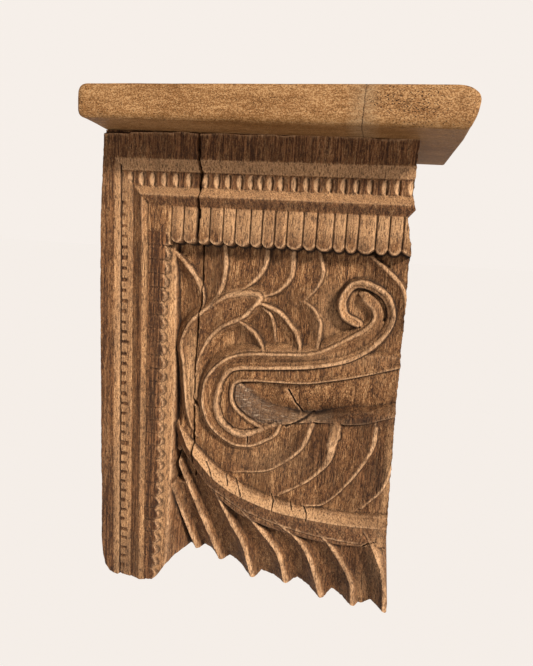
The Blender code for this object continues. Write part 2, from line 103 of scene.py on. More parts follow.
# %% Main sizes
MM = 0.001
BLOCK_WIDTH = 334.0
BLOCK_HEIGHT = 524.0
BLOCK_DEPTH = 158.0
PLANK_LENGTH = 380.0
PLANK_DEPTH = 213.0
PLANK_THICKNESS = 32.2
PLANK_START = -1.2
PLANK_END_RAKE = 6.0
UNDERSIDE_FALL = 5.2 / 380.0
GAP = 0.3
ORIGIN_X = BLOCK_WIDTH / 2
ORIGIN_Z = -BLOCK_HEIGHT / 2


def to_world(x, height, z):
    """A point of the block's face in metres."""
    return np.stack([(x - ORIGIN_X) * MM, (-BLOCK_DEPTH - height) * MM, (z - ORIGIN_Z) * MM], -1)


print("block corner in metres:", to_world(0.0, 0.0, 0.0).round(4))

# %% [markdown]
# ## Curves and distances
#
# A carver draws each leaf as a line on the wood and cuts away from it on one side or the other.
# The carving here is made the same way: smooth lines, and a height that depends on how far a point
# lies from the line and on which side. Sculpting by hand would give freer shapes, but a
# rule like this one stays sharp at any size and says in words what each cut is.


# %% Read tables, draw curves, measure distances
def read(table, value):
    """The value's partner in a table of pairs, with straight lines between the pairs."""
    return np.interp(value, *zip(*table))


def spread(values, share):
    """Values spaced evenly along a line, read at a share of its length."""
    return np.interp(share, np.linspace(0, 1, len(values)), values)


def curve(points, steps=7):
    """Points along a smooth curve through the given ones."""
    p = np.array(points, float)
    p = np.vstack([2 * p[0] - p[1], p, 2 * p[-1] - p[-2]])
    t = np.linspace(0, 1, steps, endpoint=False)[:, None]
    spans = []
    for a, b, c, d in zip(p, p[1:], p[2:], p[3:]):
        bend = 2 * a - 5 * b + 4 * c - d + t * (3 * b - a - 3 * c + d)
        spans.append(b + 0.5 * t * (c - a + t * bend))
    return np.vstack(spans + [p[-2:-1]])


def beside(line, x, z, reach):
    """What lies within reach of a line: mask, distance, side (1 is left) and share of its length."""
    low, high = line.min(0) - reach, line.max(0) + reach
    near = (x > low[0]) & (x < high[0]) & (z > low[1]) & (z < high[1])
    px, pz = x[near], z[near]
    best = np.full(px.shape, np.inf)
    side = np.ones(px.shape)
    share = np.zeros(px.shape)
    lengths = np.hypot(*np.diff(line, axis=0).T)
    run = 0.0
    for a, b, length in zip(line, line[1:], lengths):
        if length == 0:
            continue
        dx, dz = (b - a) / length
        t = np.clip((px - a[0]) * dx + (pz - a[1]) * dz, 0, length)
        away_x, away_z = px - a[0] - t * dx, pz - a[1] - t * dz
        away = np.hypot(away_x, away_z)
        closer = away < best
        best[closer] = away[closer]
        side[closer] = np.where(dx * away_z - dz * away_x >= 0, 1, -1)[closer]
        share[closer] = ((run + t) / lengths.sum())[closer]
        run += length
    kept = best < reach
    near[near] = kept
    return near, best[kept], side[kept], share[kept]


def within(outline, x, z):
    """True where (x, z) is inside a closed outline."""
    result = np.zeros(x.shape, bool)
    for (ax, az), (bx, bz) in zip(outline, np.roll(outline, -1, axis=0)):
        if az != bz:
            crosses = (az > z) != (bz > z)
            result ^= crosses & (x < (bx - ax) * (z - az) / (bz - az) + ax)
    return result


def raise_crest(h, x, z, line, heights, left, right):
    """Raise a crest along a line; left and right give how far it has fallen at each distance from it."""
    near, distance, side, share = beside(line, x, z, min(left[-1][0], right[-1][0]))
    fall = np.where(side > 0, read(left, distance), read(right, distance))
    h[near] = np.maximum(h[near], spread(heights, share) - fall)


def raise_floor(h, x, z, outline, level, wall, reach):
    """Raise everything inside an outline to at least a level, with sloping walls around it."""
    closed = np.vstack([outline, outline[:1]])
    near, distance = beside(closed, x, z, reach)[:2]
    h[near] = np.maximum(h[near], level - wall * distance)
    inside = within(outline, x, z)
    h[inside] = np.maximum(h[inside], level)


NOISE_SIZE = 128


def between(table, i, j, next_i, next_j, s, t):
    """The value between four neighbours in a table, at s of the way across and t of the way along."""
    low = table[i, j] * (1 - s) + table[next_i, j] * s
    high = table[i, next_j] * (1 - s) + table[next_i, next_j] * s
    return low * (1 - t) + high * t


def noise(x, z, across, along, seed):
    """Smooth random values between -1 and 1, with bumps of a given width and height in millimetres."""
    table = np.random.default_rng(seed).uniform(-1, 1, (NOISE_SIZE, NOISE_SIZE))
    u, v = x / across, z / along
    i, j = np.floor(u).astype(int), np.floor(v).astype(int)
    s, t = u - i, v - j
    s, t = s * s * (3 - 2 * s), t * t * (3 - 2 * t)
    corners = [index % NOISE_SIZE for index in (i, j, i + 1, j + 1)]
    return between(table, *corners, s, t)


print("a curve through 3 points has", len(curve([(0, 0), (1, 1), (2, 0)])), "points")

# %% [markdown]
# ## The frame
#
# An L-shaped frame runs along the top of the block and down its left side: a small bead, a row of
# dentils stabbed with a gouge, a ledge, and rounded tabs. All of it follows how far a point lies in
# from the start of the frame, and the smaller of the two distances, from the band and from the leg,
# gives the mitre at the corner.

# %% Mouldings and dentils
BAND_START = 43.5
LEG_START = ((46, 20.2), (524, 25.2))
BAND_BEAD = 14.0
LEG_BEAD = 7.5
BEAD_SLOPE = ((-1.0, 0.0), (-0.85, -0.5), (-0.14, -1.6))
GROOVE_WIDTH = 1.2
BAND_GROOVE_HEIGHT = -2.6
LEG_GROOVE_HEIGHT = -4.5
DENTIL_HEIGHT = -2.2
BAND_DENTIL = 14.6
LEG_DENTIL = 13.4
BAND_CHIPS = (32.1, 45, 57.7, 71, 84.6, 99.1, 118, 130.3, 142.5, 155.1, 167, 177.5, 187.9, 199.2, 213.2,
              225.7, 236.6, 249.7, 263.7, 276.8, 290.3, 305.1, 317.8, 331)
CHIP_FACET = 5.4
CHIP_BACK = 2.4
CHIP_DEPTH = 3.6
NOTCH_START = 65.5
NOTCH_PITCH = 12.05
NOTCH_HALF = 2.4
NOTCH_LENGTH = 9.0
NOTCH_DEPTH = 1.9
NOTCH_WANDER = 0.12
NOTCH_SIDE = 1.5
NOTCH_END = 3.0
NOTCH_FADE = ((60, 0.0), (68, 0.3), (110, 0.6), (150, 1.0))
TOP_EDGE_GAP = 5.0
LEDGE_FOOT_HEIGHT = -3.4
BAND_CREST = 24.2
BAND_ROOT = 35.5
BAND_CREST_HEIGHT = 5.0
LEG_CREST = 26.2
LEG_ROOT = 32.0
LEG_CREST_HEIGHT = ((70, 5.0), (125, 1.8))
BAND_ROOT_HEIGHT = 0.4
LEG_ROOT_HEIGHT = -0.8


def frame_place(x, z):
    """How far in from the frame's start a point lies, and whether it is on the band."""
    band = -z - BAND_START
    leg = x - read(LEG_START, -z)
    on_band = band + np.where(leg < 0, BAND_BEAD - LEG_BEAD, 0) < leg
    return np.where(on_band, band, leg), on_band


def band_chips(x, q):
    """Shares of the gouge cuts between the band's dentils: bright facets, then backs that face left."""
    lens = np.sqrt(np.clip(1 - (2 * q / BAND_DENTIL - 1) ** 2, 1e-6, 1))
    facet, back = np.zeros(x.shape), np.zeros(x.shape)
    for place in BAND_CHIPS:
        left = place - x
        facet = np.where(left >= 0, np.maximum(facet, 1 - left / (CHIP_FACET * lens)), facet)
        back = np.where(left < 0, np.maximum(back, 1 + left / (CHIP_BACK * lens)), back)
    return np.clip(facet, 0, 1), np.clip(back, 0, 1)


def leg_notches(z, q):
    """Share of the small notches between the leg's dentils, which reach two thirds of the way across."""
    turn = (-z - NOTCH_START) / NOTCH_PITCH + NOTCH_WANDER * noise(z, z, 9, 9, 21)
    off = np.abs(turn - np.round(turn)) * NOTCH_PITCH
    length = NOTCH_LENGTH * (0.85 + 0.3 * noise(z, z, 13, 13, 22))
    depth = np.minimum((NOTCH_HALF - off) / NOTCH_SIDE, (length - q) / NOTCH_END)
    return np.clip(depth, 0, 1) * read(NOTCH_FADE, -z)


def moulding(x, z):
    """Height of the frame's straight mouldings: bead, groove, dentils and ledge, met in a mitre."""
    q, on_band = frame_place(x, z)
    h = read(BEAD_SLOPE, q / np.where(on_band, BAND_BEAD, LEG_BEAD))
    h = np.where(q > -GROOVE_WIDTH, np.where(on_band, BAND_GROOVE_HEIGHT, LEG_GROOVE_HEIGHT), h)
    facet, back = band_chips(x, q)
    cut = np.where(on_band, CHIP_DEPTH * np.maximum(facet, back), NOTCH_DEPTH * leg_notches(z, q))
    h = np.where(q > 0, DENTIL_HEIGHT - cut, h)
    dentil = np.where(on_band, BAND_DENTIL, LEG_DENTIL)
    crest = np.where(on_band, BAND_CREST, LEG_CREST)
    root = np.where(on_band, BAND_ROOT, LEG_ROOT)
    top = np.where(on_band, BAND_CREST_HEIGHT, read(LEG_CREST_HEIGHT, -z))
    low = np.where(on_band, BAND_ROOT_HEIGHT, LEG_ROOT_HEIGHT)
    rise = LEDGE_FOOT_HEIGHT + (top - LEDGE_FOOT_HEIGHT) * (q - dentil) / (crest - dentil)
    fall = top - (top - low) * (q - crest) / (root - crest)
    return np.where(q > dentil, np.minimum(rise, fall), h), q < root


print("cuts between the band's dentils:", len(BAND_CHIPS))

# %% Tabs along the band and the leg
CORNER_HEIGHT = 0.8
FRINGE_DOWN = 118.0
FRINGE_ROUNDING = 5.0
FRINGE_START = 80.0
FRINGE_WIDTHS = (14, 15, 14.5, 14.5, 13.5, 16.5, 12.5, 13.5, 13, 17, 14, 17.5, 12.5, 12.5, 18, 13,
                 13.5)
FRINGE_RISE = 2.5
FRINGE_CROWN = 0.8
LEG_TABS_DOWN = 106.0
LEG_TAB_PITCH = 15.4
LEG_TAB_END = ((106, 79), (126, 78.2), (178, 76), (215, 75.5), (254, 77), (332, 76.2), (418, 76),
               (500, 73))
LEG_TAB_CORNER = 6.0
LEG_FOOT_CORNER = ((106, 0.2), (300, 0.6), (430, 1.0))
TAB_TOP_SPAN = 0.55
TAB_FOOT_START = 0.68
TAB_FOOT_SPAN = 0.32
STRIP_OVERLAP = 0.5
LEG_TAB_CROWN = 0.8
SLOT_WIDTH = 1.7
SLOT_DEPTH = 3.2
LEG_SLOT_DEPTH = 1.5
LEG_STRIP_END = ((106, 82.0), (182, 83.5), (258, 85.5), (339, 84.4), (429, 83.0), (524, 79))
LEG_STRIP_FALL = 10.0
LEG_WALL_SLOPE = 3.2
CHANNEL_FLOOR = ((118, -17), (180, -20), (350, -30), (405, -42), (520, -74))


def slots(places, along, depth):
    """Depth of the V cuts at the given places."""
    cut = np.zeros(along.shape)
    for place in places:
        cut = np.maximum(cut, depth * (1 - np.abs(along - place) / (SLOT_WIDTH / 2)))
    return cut


def fringe(x, z):
    """Height of the tabs that hang from the band, and where they are."""
    places = FRINGE_START + np.concatenate([[0], np.cumsum(FRINGE_WIDTHS)])
    cuts = np.append(places, x.max() + 1)
    tab = np.clip(np.searchsorted(cuts, x) - 1, 0, len(cuts) - 2)
    across = 2 * (x - cuts[tab]) / (cuts[tab + 1] - cuts[tab]) - 1
    band_down = BAND_START + BAND_ROOT
    end = FRINGE_DOWN - FRINGE_ROUNDING * across ** 2
    share = (-z - band_down) / (FRINGE_DOWN - band_down)
    crown = FRINGE_CROWN * (1 - across ** 2)
    h = BAND_ROOT_HEIGHT + FRINGE_RISE * share + crown - slots(places, x, SLOT_DEPTH)
    return h, (-z >= band_down) & (-z < end) & (x >= FRINGE_START)


def corner_cut(z):
    """How far each tab's corners are cut away: fully at its top, and more at its foot the lower it hangs."""
    turn = ((-z - LEG_TABS_DOWN) / LEG_TAB_PITCH) % 1.0
    lowest = np.clip((turn - TAB_FOOT_START) / TAB_FOOT_SPAN, 0, 1)
    at_foot = read(LEG_FOOT_CORNER, -z) * lowest ** 1.5
    return np.maximum(np.clip(1 - turn / TAB_TOP_SPAN, 0, 1) ** 1.2, at_foot)


def leg_tabs(x, z):
    """Height of the leg's tabs, the strip cut along their ends and the wall; and where the cut is."""
    end, strip_end = read(LEG_TAB_END, -z), read(LEG_STRIP_END, -z)
    cuts = np.arange(LEG_TABS_DOWN, BLOCK_HEIGHT - LEG_TAB_PITCH / 2, LEG_TAB_PITCH)
    tab = LEG_ROOT_HEIGHT + LEG_TAB_CROWN - slots(cuts, -z, LEG_SLOT_DEPTH)
    strip_start = end - LEG_TAB_CORNER - STRIP_OVERLAP
    strip = LEG_ROOT_HEIGHT - LEG_STRIP_FALL * (x - strip_start) / (strip_end - strip_start)
    wall = LEG_ROOT_HEIGHT - LEG_STRIP_FALL - LEG_WALL_SLOPE * (x - strip_end)
    cut = x >= end - LEG_TAB_CORNER * corner_cut(z)
    return np.where(cut, np.where(x < strip_end, strip, wall), tab), cut


print("tabs along the band:", len(FRINGE_WIDTHS) + 1)

# %% [markdown]
# ## The leaves of the panel
#
# Inside the frame the ground is sunk. Each leaf is a thin raised edge: on one side the wood drops in
# a small step, on the other it is scooped away in a long hollow. The edges are drawn downwards.

# %% Leaf edges
PANEL_TOP = -17.0
PANEL_LOW = -13.0
PANEL_CHANGE = ((290, PANEL_TOP), (330, PANEL_LOW))
CHANNEL_START = ((106, 78), (258, 79), (425, 75), (524, 69))
CHANNEL_WIDTH = 18.0
VOLUTE_GROUND = ((300, -178), (46, 44), 6.0)
# Each leaf: its points, the edge's lift along it, the width of its hollow, and its rubbed and lit width along
# it
LEAVES = (
    (((82, -128), (93, -139), (105, -152), (113, -168), (117, -190)),
     (8, 7, 4), 20, (2.0, 2.6, 2.6, 1.2)),
    (((135, -112), (139, -124), (139, -149), (133, -172), (116, -192)),
     (6, 6, 6, 5), 26, (2.4, 2.4, 2.2, 1.0)),
    (((186, -112), (184, -134), (177, -149), (162, -162), (141, -172)),
     (6, 6, 6, 5), 40, (2.4, 2.2, 1.4, 1.2)),
    (((213, -112), (214, -130), (212, -148), (200, -163), (181, -171)),
     (6, 6, 6, 5), 32, (2.4, 2.4, 1.4, 1.1)),
    (((240, -112), (246, -134), (246, -145), (240, -158), (228, -172)),
     (6, 6, 6, 5), 32, (2.2, 1.8, 1.2, 1.1)),
    (((228, -172), (239, -179), (245, -188), (248, -199), (246, -226)),
     (5, 7, 8, 9), 26, (1.0, 1.5, 1.7, 1.3)),
    (((156, -197), (169, -206), (179, -215), (190, -233)), (7, 8, 9), 20, (1.5, 2.0, 1.2)),
    (((180, -177), (201, -185), (215, -198), (224, -210), (229, -230)),
     (8, 8, 9, 9), 22, (1.4, 1.9, 2.1, 1.4)),
    (((184, -183), (193, -190), (197, -201), (199, -218)), (5, 5, 4), 12, (1.2, 1.7, 1.2)),
    (((296, -120), (316, -136), (329, -149), (335, -166), (338, -190)),
     (7, 9, 9, 6), 22, (1.6, 2.2, 1.5)),
    (((211, -312), (207, -323), (195, -332), (179, -340), (160, -341)),
     (7, 7, 6, 4), 18, (1.6, 1.3, 1.0)),
    (((247, -308), (240, -330), (229, -345), (212, -359), (196, -368), (160, -375)),
     (8, 7, 6, 3), 30, (3.0, 1.5, 1.1, 0.8)),
    (((273.5, -306), (270.5, -332), (265, -351), (246, -373), (213, -396)), (8, 8, 6, 3), 32,
     (8.0, 5.2, 1.5, 1.2, 1.1)),
    (((316, -304), (315, -323), (306, -344), (290, -370), (266, -397), (244, -403)),
     (8, 7, 7, 5), 34, (2.6, 1.6, 1.2, 1.1)),
    (((340, -316), (335, -350), (327, -374), (308, -396)), (6, 6, 5), 26, (1.5, 1.2)),
)
LEAF_HOLLOWING = 2.1
LEAF_STEP = ((0, 1), (1.0, 0.9), (1.8, 0.45), (3.4, 0))


def panel(x, z):
    """Height of the leaves and of the ground that they stand on."""
    floor = read(CHANNEL_FLOOR, -z)
    rise = np.clip((x - read(CHANNEL_START, -z)) / CHANNEL_WIDTH, 0, 1)
    ground = floor + (read(PANEL_CHANGE, -z) - floor) * rise
    (middle_x, middle_z), (wide, high), lift = VOLUTE_GROUND
    ground += lift * np.exp(-((x - middle_x) / wide) ** 2 - ((z - middle_z) / high) ** 2)
    h = ground.copy()
    for points, lifts, width, rub in LEAVES:
        near, distance, side, share = beside(curve(points), x, z, width)
        past = np.clip(distance - 0.5 * spread(rub, share), 0, None)
        body = (1 - past / width) ** LEAF_HOLLOWING
        kept = np.where(side > 0, read(LEAF_STEP, past), body)
        h[near] = np.maximum(h[near], ground[near] + spread(lifts, share) * kept)
    return h


print("leaf edges:", len(LEAVES))

# %% [markdown]
# ## The scroll and the hollow
#
# A hood leaf curls over the panel's left, and from it grows a scroll: two crests with a trough
# between them that run to the right and roll up into a volute. Inside lies a second band with a lip,
# and within that a weathered hollow: a recess that deepens to a groove, and a worn jaw under it.

# %% Hood, scroll, band and hollow
HOOD = ((114, -338), (107, -325), (102, -304), (99, -277), (96, -250), (93, -232), (97, -216),
        (106, -201), (129, -182), (143, -173), (158, -168), (172, -167), (182, -171), (174, -182),
        (164, -193), (152, -200), (139, -207), (128, -218), (120, -231), (114, -246), (110, -266),
        (109, -290))
HOOD_HEIGHTS = (-11, -6, -5, -4.5, -4, -4, -4, -4, -5, -5, -5, -6)
HOOD_FLANK = ((0, 0), (1.5, 1), (9, 11), (16, 20))
HOOD_TROUGH = ((0, 0), (2, 1.2), (7, 3.6), (14, 4.2))
OUTER_CREST = ((179, -340), (163, -341), (146, -334), (132, -322), (124, -307), (121, -290), (126, -264),
               (147, -242), (173, -234), (210, -231), (246, -226), (281, -206), (297, -195), (304, -184),
               (302, -174), (292, -165))
INNER_CREST = ((206, -311), (193, -318), (178, -325), (164, -328), (149, -320), (140, -309), (137, -294),
               (140, -274), (148, -258), (162, -251), (200, -247), (245, -241), (282, -230), (310, -209),
               (323, -183), (316, -160), (295, -148), (278, -150), (268, -167), (272, -184), (287, -192))
STEM_END_OUTER = (297, -195)
STEM_END_INNER = (323, -183)
SCROLL_HEIGHTS = (-6, -4, -3, -3, -3, -3)
SCROLL_FLOOR = -8.5
SCROLL_WALL = 1.4
SCROLL_WALL_REACH = 12.0
SCROLL_FLANK = ((0, 0), (1.5, 0.8), (8, 9), (14, 18))
SCROLL_TROUGH = ((0, 0), (2, 1.2), (8, 5.5), (12, 14))
SCROLL_STEP = ((0, 0), (2, 0.4), (3.2, 5.5), (6, 14))
LIP = ((199, -314), (191, -316), (178, -311), (167, -304), (158, -295), (154, -284), (157, -270), (170, -265),
       (207, -263), (238, -261), (269, -254), (298, -246), (340, -232))
JAW_EDGE = ((157, -270), (156, -284), (159, -294), (167, -302), (178, -308), (193, -311), (210, -312),
            (228, -309), (250, -305), (272, -304), (302, -301), (345, -285))
GROOVE = ((170, -275), (178, -283), (189, -290), (206, -294), (229, -298), (247, -298), (262, -293),
          (286, -286), (313, -281), (345, -271))
GROOVE_HEIGHTS = (-13, -22, -27, -28, -24, -21, -20)
BAND_RIGHT_END = (345, -223)
BAND_HEIGHT = -8.5
LIP_HEIGHT = -5.0
LIP_SLOPE = ((0, 0), (1.5, 0.6), (5, 3.5), (9, 9))
RECESS_WALL = ((0, -5), (2.5, -13))
JAW_RISE = ((0, 0.10), (0.12, 0.0), (0.4, 0.05), (0.7, 0.35), (1, 1.0))
JAW_HEIGHT = -7.5


def up_to(points, last):
    """The points of a line up to the named one."""
    return points[:points.index(last) + 1]


def scroll(h, x, z):
    """The hood leaf, the scroll with its volute, and the band inside the scroll with its lip."""
    raise_crest(h, x, z, curve(HOOD), HOOD_HEIGHTS, HOOD_FLANK, HOOD_TROUGH)
    outer = curve(up_to(OUTER_CREST, STEM_END_OUTER))
    inner = curve(up_to(INNER_CREST, STEM_END_INNER))
    raise_floor(h, x, z, np.vstack([outer, inner[::-1]]), SCROLL_FLOOR, SCROLL_WALL, SCROLL_WALL_REACH)
    lip = curve(LIP)
    under_stem = inner[inner[:, 1] < BAND_RIGHT_END[1]]
    inner_band = np.vstack([under_stem, [BAND_RIGHT_END], lip[::-1]])
    raise_floor(h, x, z, inner_band, BAND_HEIGHT, SCROLL_WALL, SCROLL_WALL_REACH)
    raise_crest(h, x, z, lip, (LIP_HEIGHT, LIP_HEIGHT), LIP_SLOPE, LIP_SLOPE)
    raise_crest(h, x, z, curve(OUTER_CREST), SCROLL_HEIGHTS, SCROLL_FLANK, SCROLL_TROUGH)
    raise_crest(h, x, z, curve(INNER_CREST), SCROLL_HEIGHTS, SCROLL_TROUGH, SCROLL_STEP)


def hollow(h, x, z):
    """The hollow inside the scroll: a recess that deepens to the groove, and the jaw that rises below it."""
    lip, jaw, groove = curve(LIP[6:]), curve(JAW_EDGE), curve(GROOVE)
    inside = within(np.vstack([lip[::-1], jaw]), x, z)
    px, pz = x[inside], z[inside]
    from_lip = beside(lip, px, pz, np.inf)[1]
    from_jaw = beside(jaw, px, pz, np.inf)[1]
    from_groove, side, share = beside(groove, px, pz, np.inf)[1:]
    deepest = spread(GROOVE_HEIGHTS, share)
    wall = read(RECESS_WALL, from_lip)
    recess = wall + (deepest - wall) * from_lip / (from_lip + from_groove)
    sunk = read(JAW_RISE, from_jaw / (from_jaw + from_groove))
    below = JAW_HEIGHT + (deepest - JAW_HEIGHT) * sunk
    h[inside] = np.where(side > 0, recess, below)


print("points drawn for the scroll:", len(OUTER_CREST) + len(INNER_CREST))

# %% [markdown]
# ## The sweep and the leaf tips
#
# A big ridge sweeps across the foot of the panel. Seven leaf tips fan out under it, each one
# hollow on its left and bevelled on its right, so every tip seems to lie over the next.

# %% The sweep and the tips under it
SWEEP = ((94, -330), (106, -350), (118, -364), (136, -382), (160, -397), (192, -408), (220, -414),
         (262, -417), (300, -417), (340, -414))
SWEEP_HEIGHTS = ((0, -9), (0.08, -2.5), (1, -3.5))
SWEEP_BEVEL = ((0, 0), (11, 5), (13, 9), (16, 18))
SWEEP_BEVEL_WIDTHS = ((0, 0.2), (0.1, 0.55), (0.25, 0.95), (1, 1))
SWEEP_FACE = ((0, 0), (1, 9), (1.12, 13), (1.5, 30))
SWEEP_WIDTHS = (9, 13, 24, 26, 28, 26)
SWEEP_REACH = 40.0
TIPS_START_DOWN = 360.0
# Each tip: its crest drawn downwards, and the crest's heights at its top and at its tip
TIPS = (
    (((84, -402), (93, -444), (101, -477), (108, -503)), (-12, -50)),
    (((91, -372), (115, -438), (141, -509)), (-13, -44)),
    (((138, -402), (159, -447), (173, -474), (185, -522)), (-12, -35)),
    (((170, -418), (197, -450), (217, -478), (227, -517)), (-12, -30)),
    (((210, -424), (242, -453), (257, -480), (271, -525)), (-12, -24)),
    (((258, -428), (287, -463), (304, -493), (308, -524)), (-12, -18)),
    (((312, -420), (330, -452), (341, -486), (344, -523)), (-9, -10)),
)
TIPS_FROM_CHANNEL = 7.0
TIP_TILT = 0.4
TIP_START_DROP = 12.0
TIP_FLAT = 2.0
TIP_BEVEL_WIDTH = 4.5
TIP_BEVEL_DROP = 10.0
TIP_HOLLOWING = 2.6
TIP_START_LENGTH = 8.0
TOP_GAP = 2.2
TOP_GAP_WAVE = 1.3
TOP_GAP_LEFT = (30, 1.2)
TOP_GAP_RIGHT = (290, 1.6)


def leaf_tips(x, z):
    """Height of the overlapping leaf tips: each hollow rises to its crest, then a bevel faces right."""
    h = read(CHANNEL_FLOOR, -z)
    foot = h
    left_x = read(CHANNEL_START, -z) + TIPS_FROM_CHANNEL
    for points, (top, tip) in TIPS:
        line = curve(points)[::-1]
        crest_x = np.interp(z, line[:, 1], line[:, 0])
        tip_z, top_z = points[-1][1], points[0][1]
        above = (top_z + TIP_START_LENGTH, top - TIP_START_DROP)
        crest = read(((tip_z, tip), (top_z, top), above), z)
        left_edge, right_edge = crest_x - TIP_FLAT, crest_x + TIP_FLAT
        share = np.clip((x - left_x) / np.maximum(left_edge - left_x, 1), 0, 1)
        tilt = TIP_TILT * np.clip(x - left_edge, 0, right_edge - left_edge)
        h = np.where(x >= left_x, foot + (crest - foot) * share ** TIP_HOLLOWING - tilt, h)
        beyond = np.clip((x - right_edge) / TIP_BEVEL_WIDTH, 0, 1)
        foot = crest - TIP_BEVEL_DROP
        h = np.where(x > right_edge, crest - tilt + (foot - crest + tilt) * beyond, h)
        left_x = right_edge + TIP_BEVEL_WIDTH
    return h


def sweep(h, x, z):
    """The leaf tips, and the big ridge above them: a bevel over its crest and a broad face under it."""
    line = curve(SWEEP)
    crest_z = np.where(x > SWEEP[0][0], np.interp(x, line[:, 0], line[:, 1]), -TIPS_START_DOWN)
    below = z < crest_z
    h[below] = leaf_tips(x, z)[below]
    near, distance, side, share = beside(line, x, z, SWEEP_REACH)
    face = read(SWEEP_FACE, distance / spread(SWEEP_WIDTHS, share))
    bevel = read(SWEEP_BEVEL, distance / read(SWEEP_BEVEL_WIDTHS, share))
    h[near] = np.maximum(h[near], read(SWEEP_HEIGHTS, share) - np.where(side > 0, bevel, face))


def relief(x, z):
    """Height of the whole carved face."""
    h = panel(x, z)
    scroll(h, x, z)
    hollow(h, x, z)
    sweep(h, x, z)
    down = -z
    leg_x = read(LEG_START, down) + LEG_ROOT
    tabs = leg_tabs(x, z)[0]
    first_tab = (down > LEG_TABS_DOWN) & (down < LEG_TABS_DOWN + LEG_TAB_PITCH - 1)
    beside_fringe = first_tab & (x < FRINGE_START)
    tabs = np.where(beside_fringe, LEG_ROOT_HEIGHT + LEG_TAB_CROWN, tabs)
    h = np.where((x > leg_x) & (down > LEG_TABS_DOWN), np.maximum(h, tabs), h)
    hanging, on_fringe = fringe(x, z)
    h = np.where(on_fringe, hanging, h)
    corner = (x > leg_x) & (x < FRINGE_START) & (down > BAND_START + LEG_ROOT) & (down <= LEG_TABS_DOWN)
    h = np.where(corner, CORNER_HEIGHT, h)
    straight, on_frame = moulding(x, z)
    h = np.where(on_frame, straight, h)
    gap = TOP_GAP + TOP_GAP_WAVE * noise(x, x, 22, 22, 51) + TOP_GAP_RIGHT[1] * (x > TOP_GAP_RIGHT[0])
    gap = gap + TOP_GAP_LEFT[1] * (x < TOP_GAP_LEFT[0])
    return h - TOP_EDGE_GAP * np.clip(z + gap, 0, 1)


print("leaf tips:", len(TIPS))

# %% [markdown]
# ## Old wood
#
# The carver's edges were crisp once. A century of weather has rounded them, opened the grain into
# fine upright furrows and split the block from top to bottom. These go into the heights
# themselves, not only into the finish, so they also show from the side.
# The whole face is held as one sheet of heights, half a millimetre apart.

# %% The sheet of heights
SHEET_STEP = 0.5
SHEET_LEFT = -6.0
SHEET_RIGHT = 350.0
sheet_x, sheet_z = np.meshgrid(np.arange(SHEET_LEFT, SHEET_RIGHT, SHEET_STEP),
                               np.arange(0, -BLOCK_HEIGHT - 4, -SHEET_STEP), indexing="ij")


def blurred(values, radius):
    """Values smoothed over a radius in millimetres."""
    reach = int(math.ceil(2.5 * radius / SHEET_STEP))
    offsets = np.arange(-reach, reach + 1)
    weights = np.exp(-0.5 * (offsets * SHEET_STEP / radius) ** 2)
    weights /= weights.sum()
    for axis in (0, 1):
        padded = np.pad(values, [(reach, reach) if a == axis else (0, 0) for a in (0, 1)], mode="edge")
        count = values.shape[axis]
        values = sum(w * padded.take(range(k, k + count), axis) for k, w in enumerate(weights))
    return values


def sampled(sheet, x, z):
    """Read a sheet at any points."""
    u = np.clip((x - SHEET_LEFT) / SHEET_STEP, 0, sheet.shape[0] - 1.001)
    v = np.clip(-z / SHEET_STEP, 0, sheet.shape[1] - 1.001)
    i, j = u.astype(int), v.astype(int)
    return between(sheet, i, j, i + 1, j + 1, u - i, v - j)


carved = relief(sheet_x, sheet_z)
print("sheet:", carved.shape, "lowest %.1f mm, highest %.1f mm" % (carved.min(), carved.max()))

# %% Wear and grain
WEAR_RADIUS = 0.45
FIBRE_DEPTH = 0.18
CHATTER_DEPTH = 0.14
TOOL_MARK_DEPTH = 0.5
CRACK_DEPTH = 0.7
HATCH_DEPTH = 0.35
HATCH_SLANT = 1.2
HATCH_LENGTH = 1.56
PANEL_BLUR = 2.0
PANEL_FULL_DEPTH = 8.0
FRAME_SHARE = 0.35

worn_down = blurred(carved, WEAR_RADIUS)
in_panel = np.clip(-blurred(carved, PANEL_BLUR) / PANEL_FULL_DEPTH, FRAME_SHARE, 1)
fibres = noise(sheet_x, sheet_z, 1.2, 12, 1) + 0.7 * noise(sheet_x, sheet_z, 2.3, 40, 2)
chatter = noise(sheet_x, sheet_z, 1.7, 1.9, 3)
tool_marks = noise(sheet_x, sheet_z, 7, 11, 4) + 0.5 * noise(sheet_x, sheet_z, 4, 5, 5)
checks = np.clip(1 - np.abs(noise(sheet_x, sheet_z, 6, 70, 6)) / 0.06, 0, 1)
hatch_x = (HATCH_SLANT * sheet_x + sheet_z) / HATCH_LENGTH
hatch_z = (sheet_x - HATCH_SLANT * sheet_z) / HATCH_LENGTH
hatch = noise(hatch_x, hatch_z, 1.6, 11, 7)
q_sheet, on_band_sheet = frame_place(sheet_x, sheet_z)
upper_slope = on_band_sheet & (q_sheet > BAND_DENTIL) & (q_sheet < BAND_CREST)
on_bead = on_band_sheet & (q_sheet > -BAND_BEAD) & (q_sheet < 0)
grain = FIBRE_DEPTH * fibres + TOOL_MARK_DEPTH * tool_marks - CRACK_DEPTH * checks
heights = worn_down + in_panel * grain
heights += CHATTER_DEPTH * chatter + HATCH_DEPTH * hatch * (upper_slope | on_bead)
print("heights after wear: %.1f to %.1f mm" % (heights.min(), heights.max()))
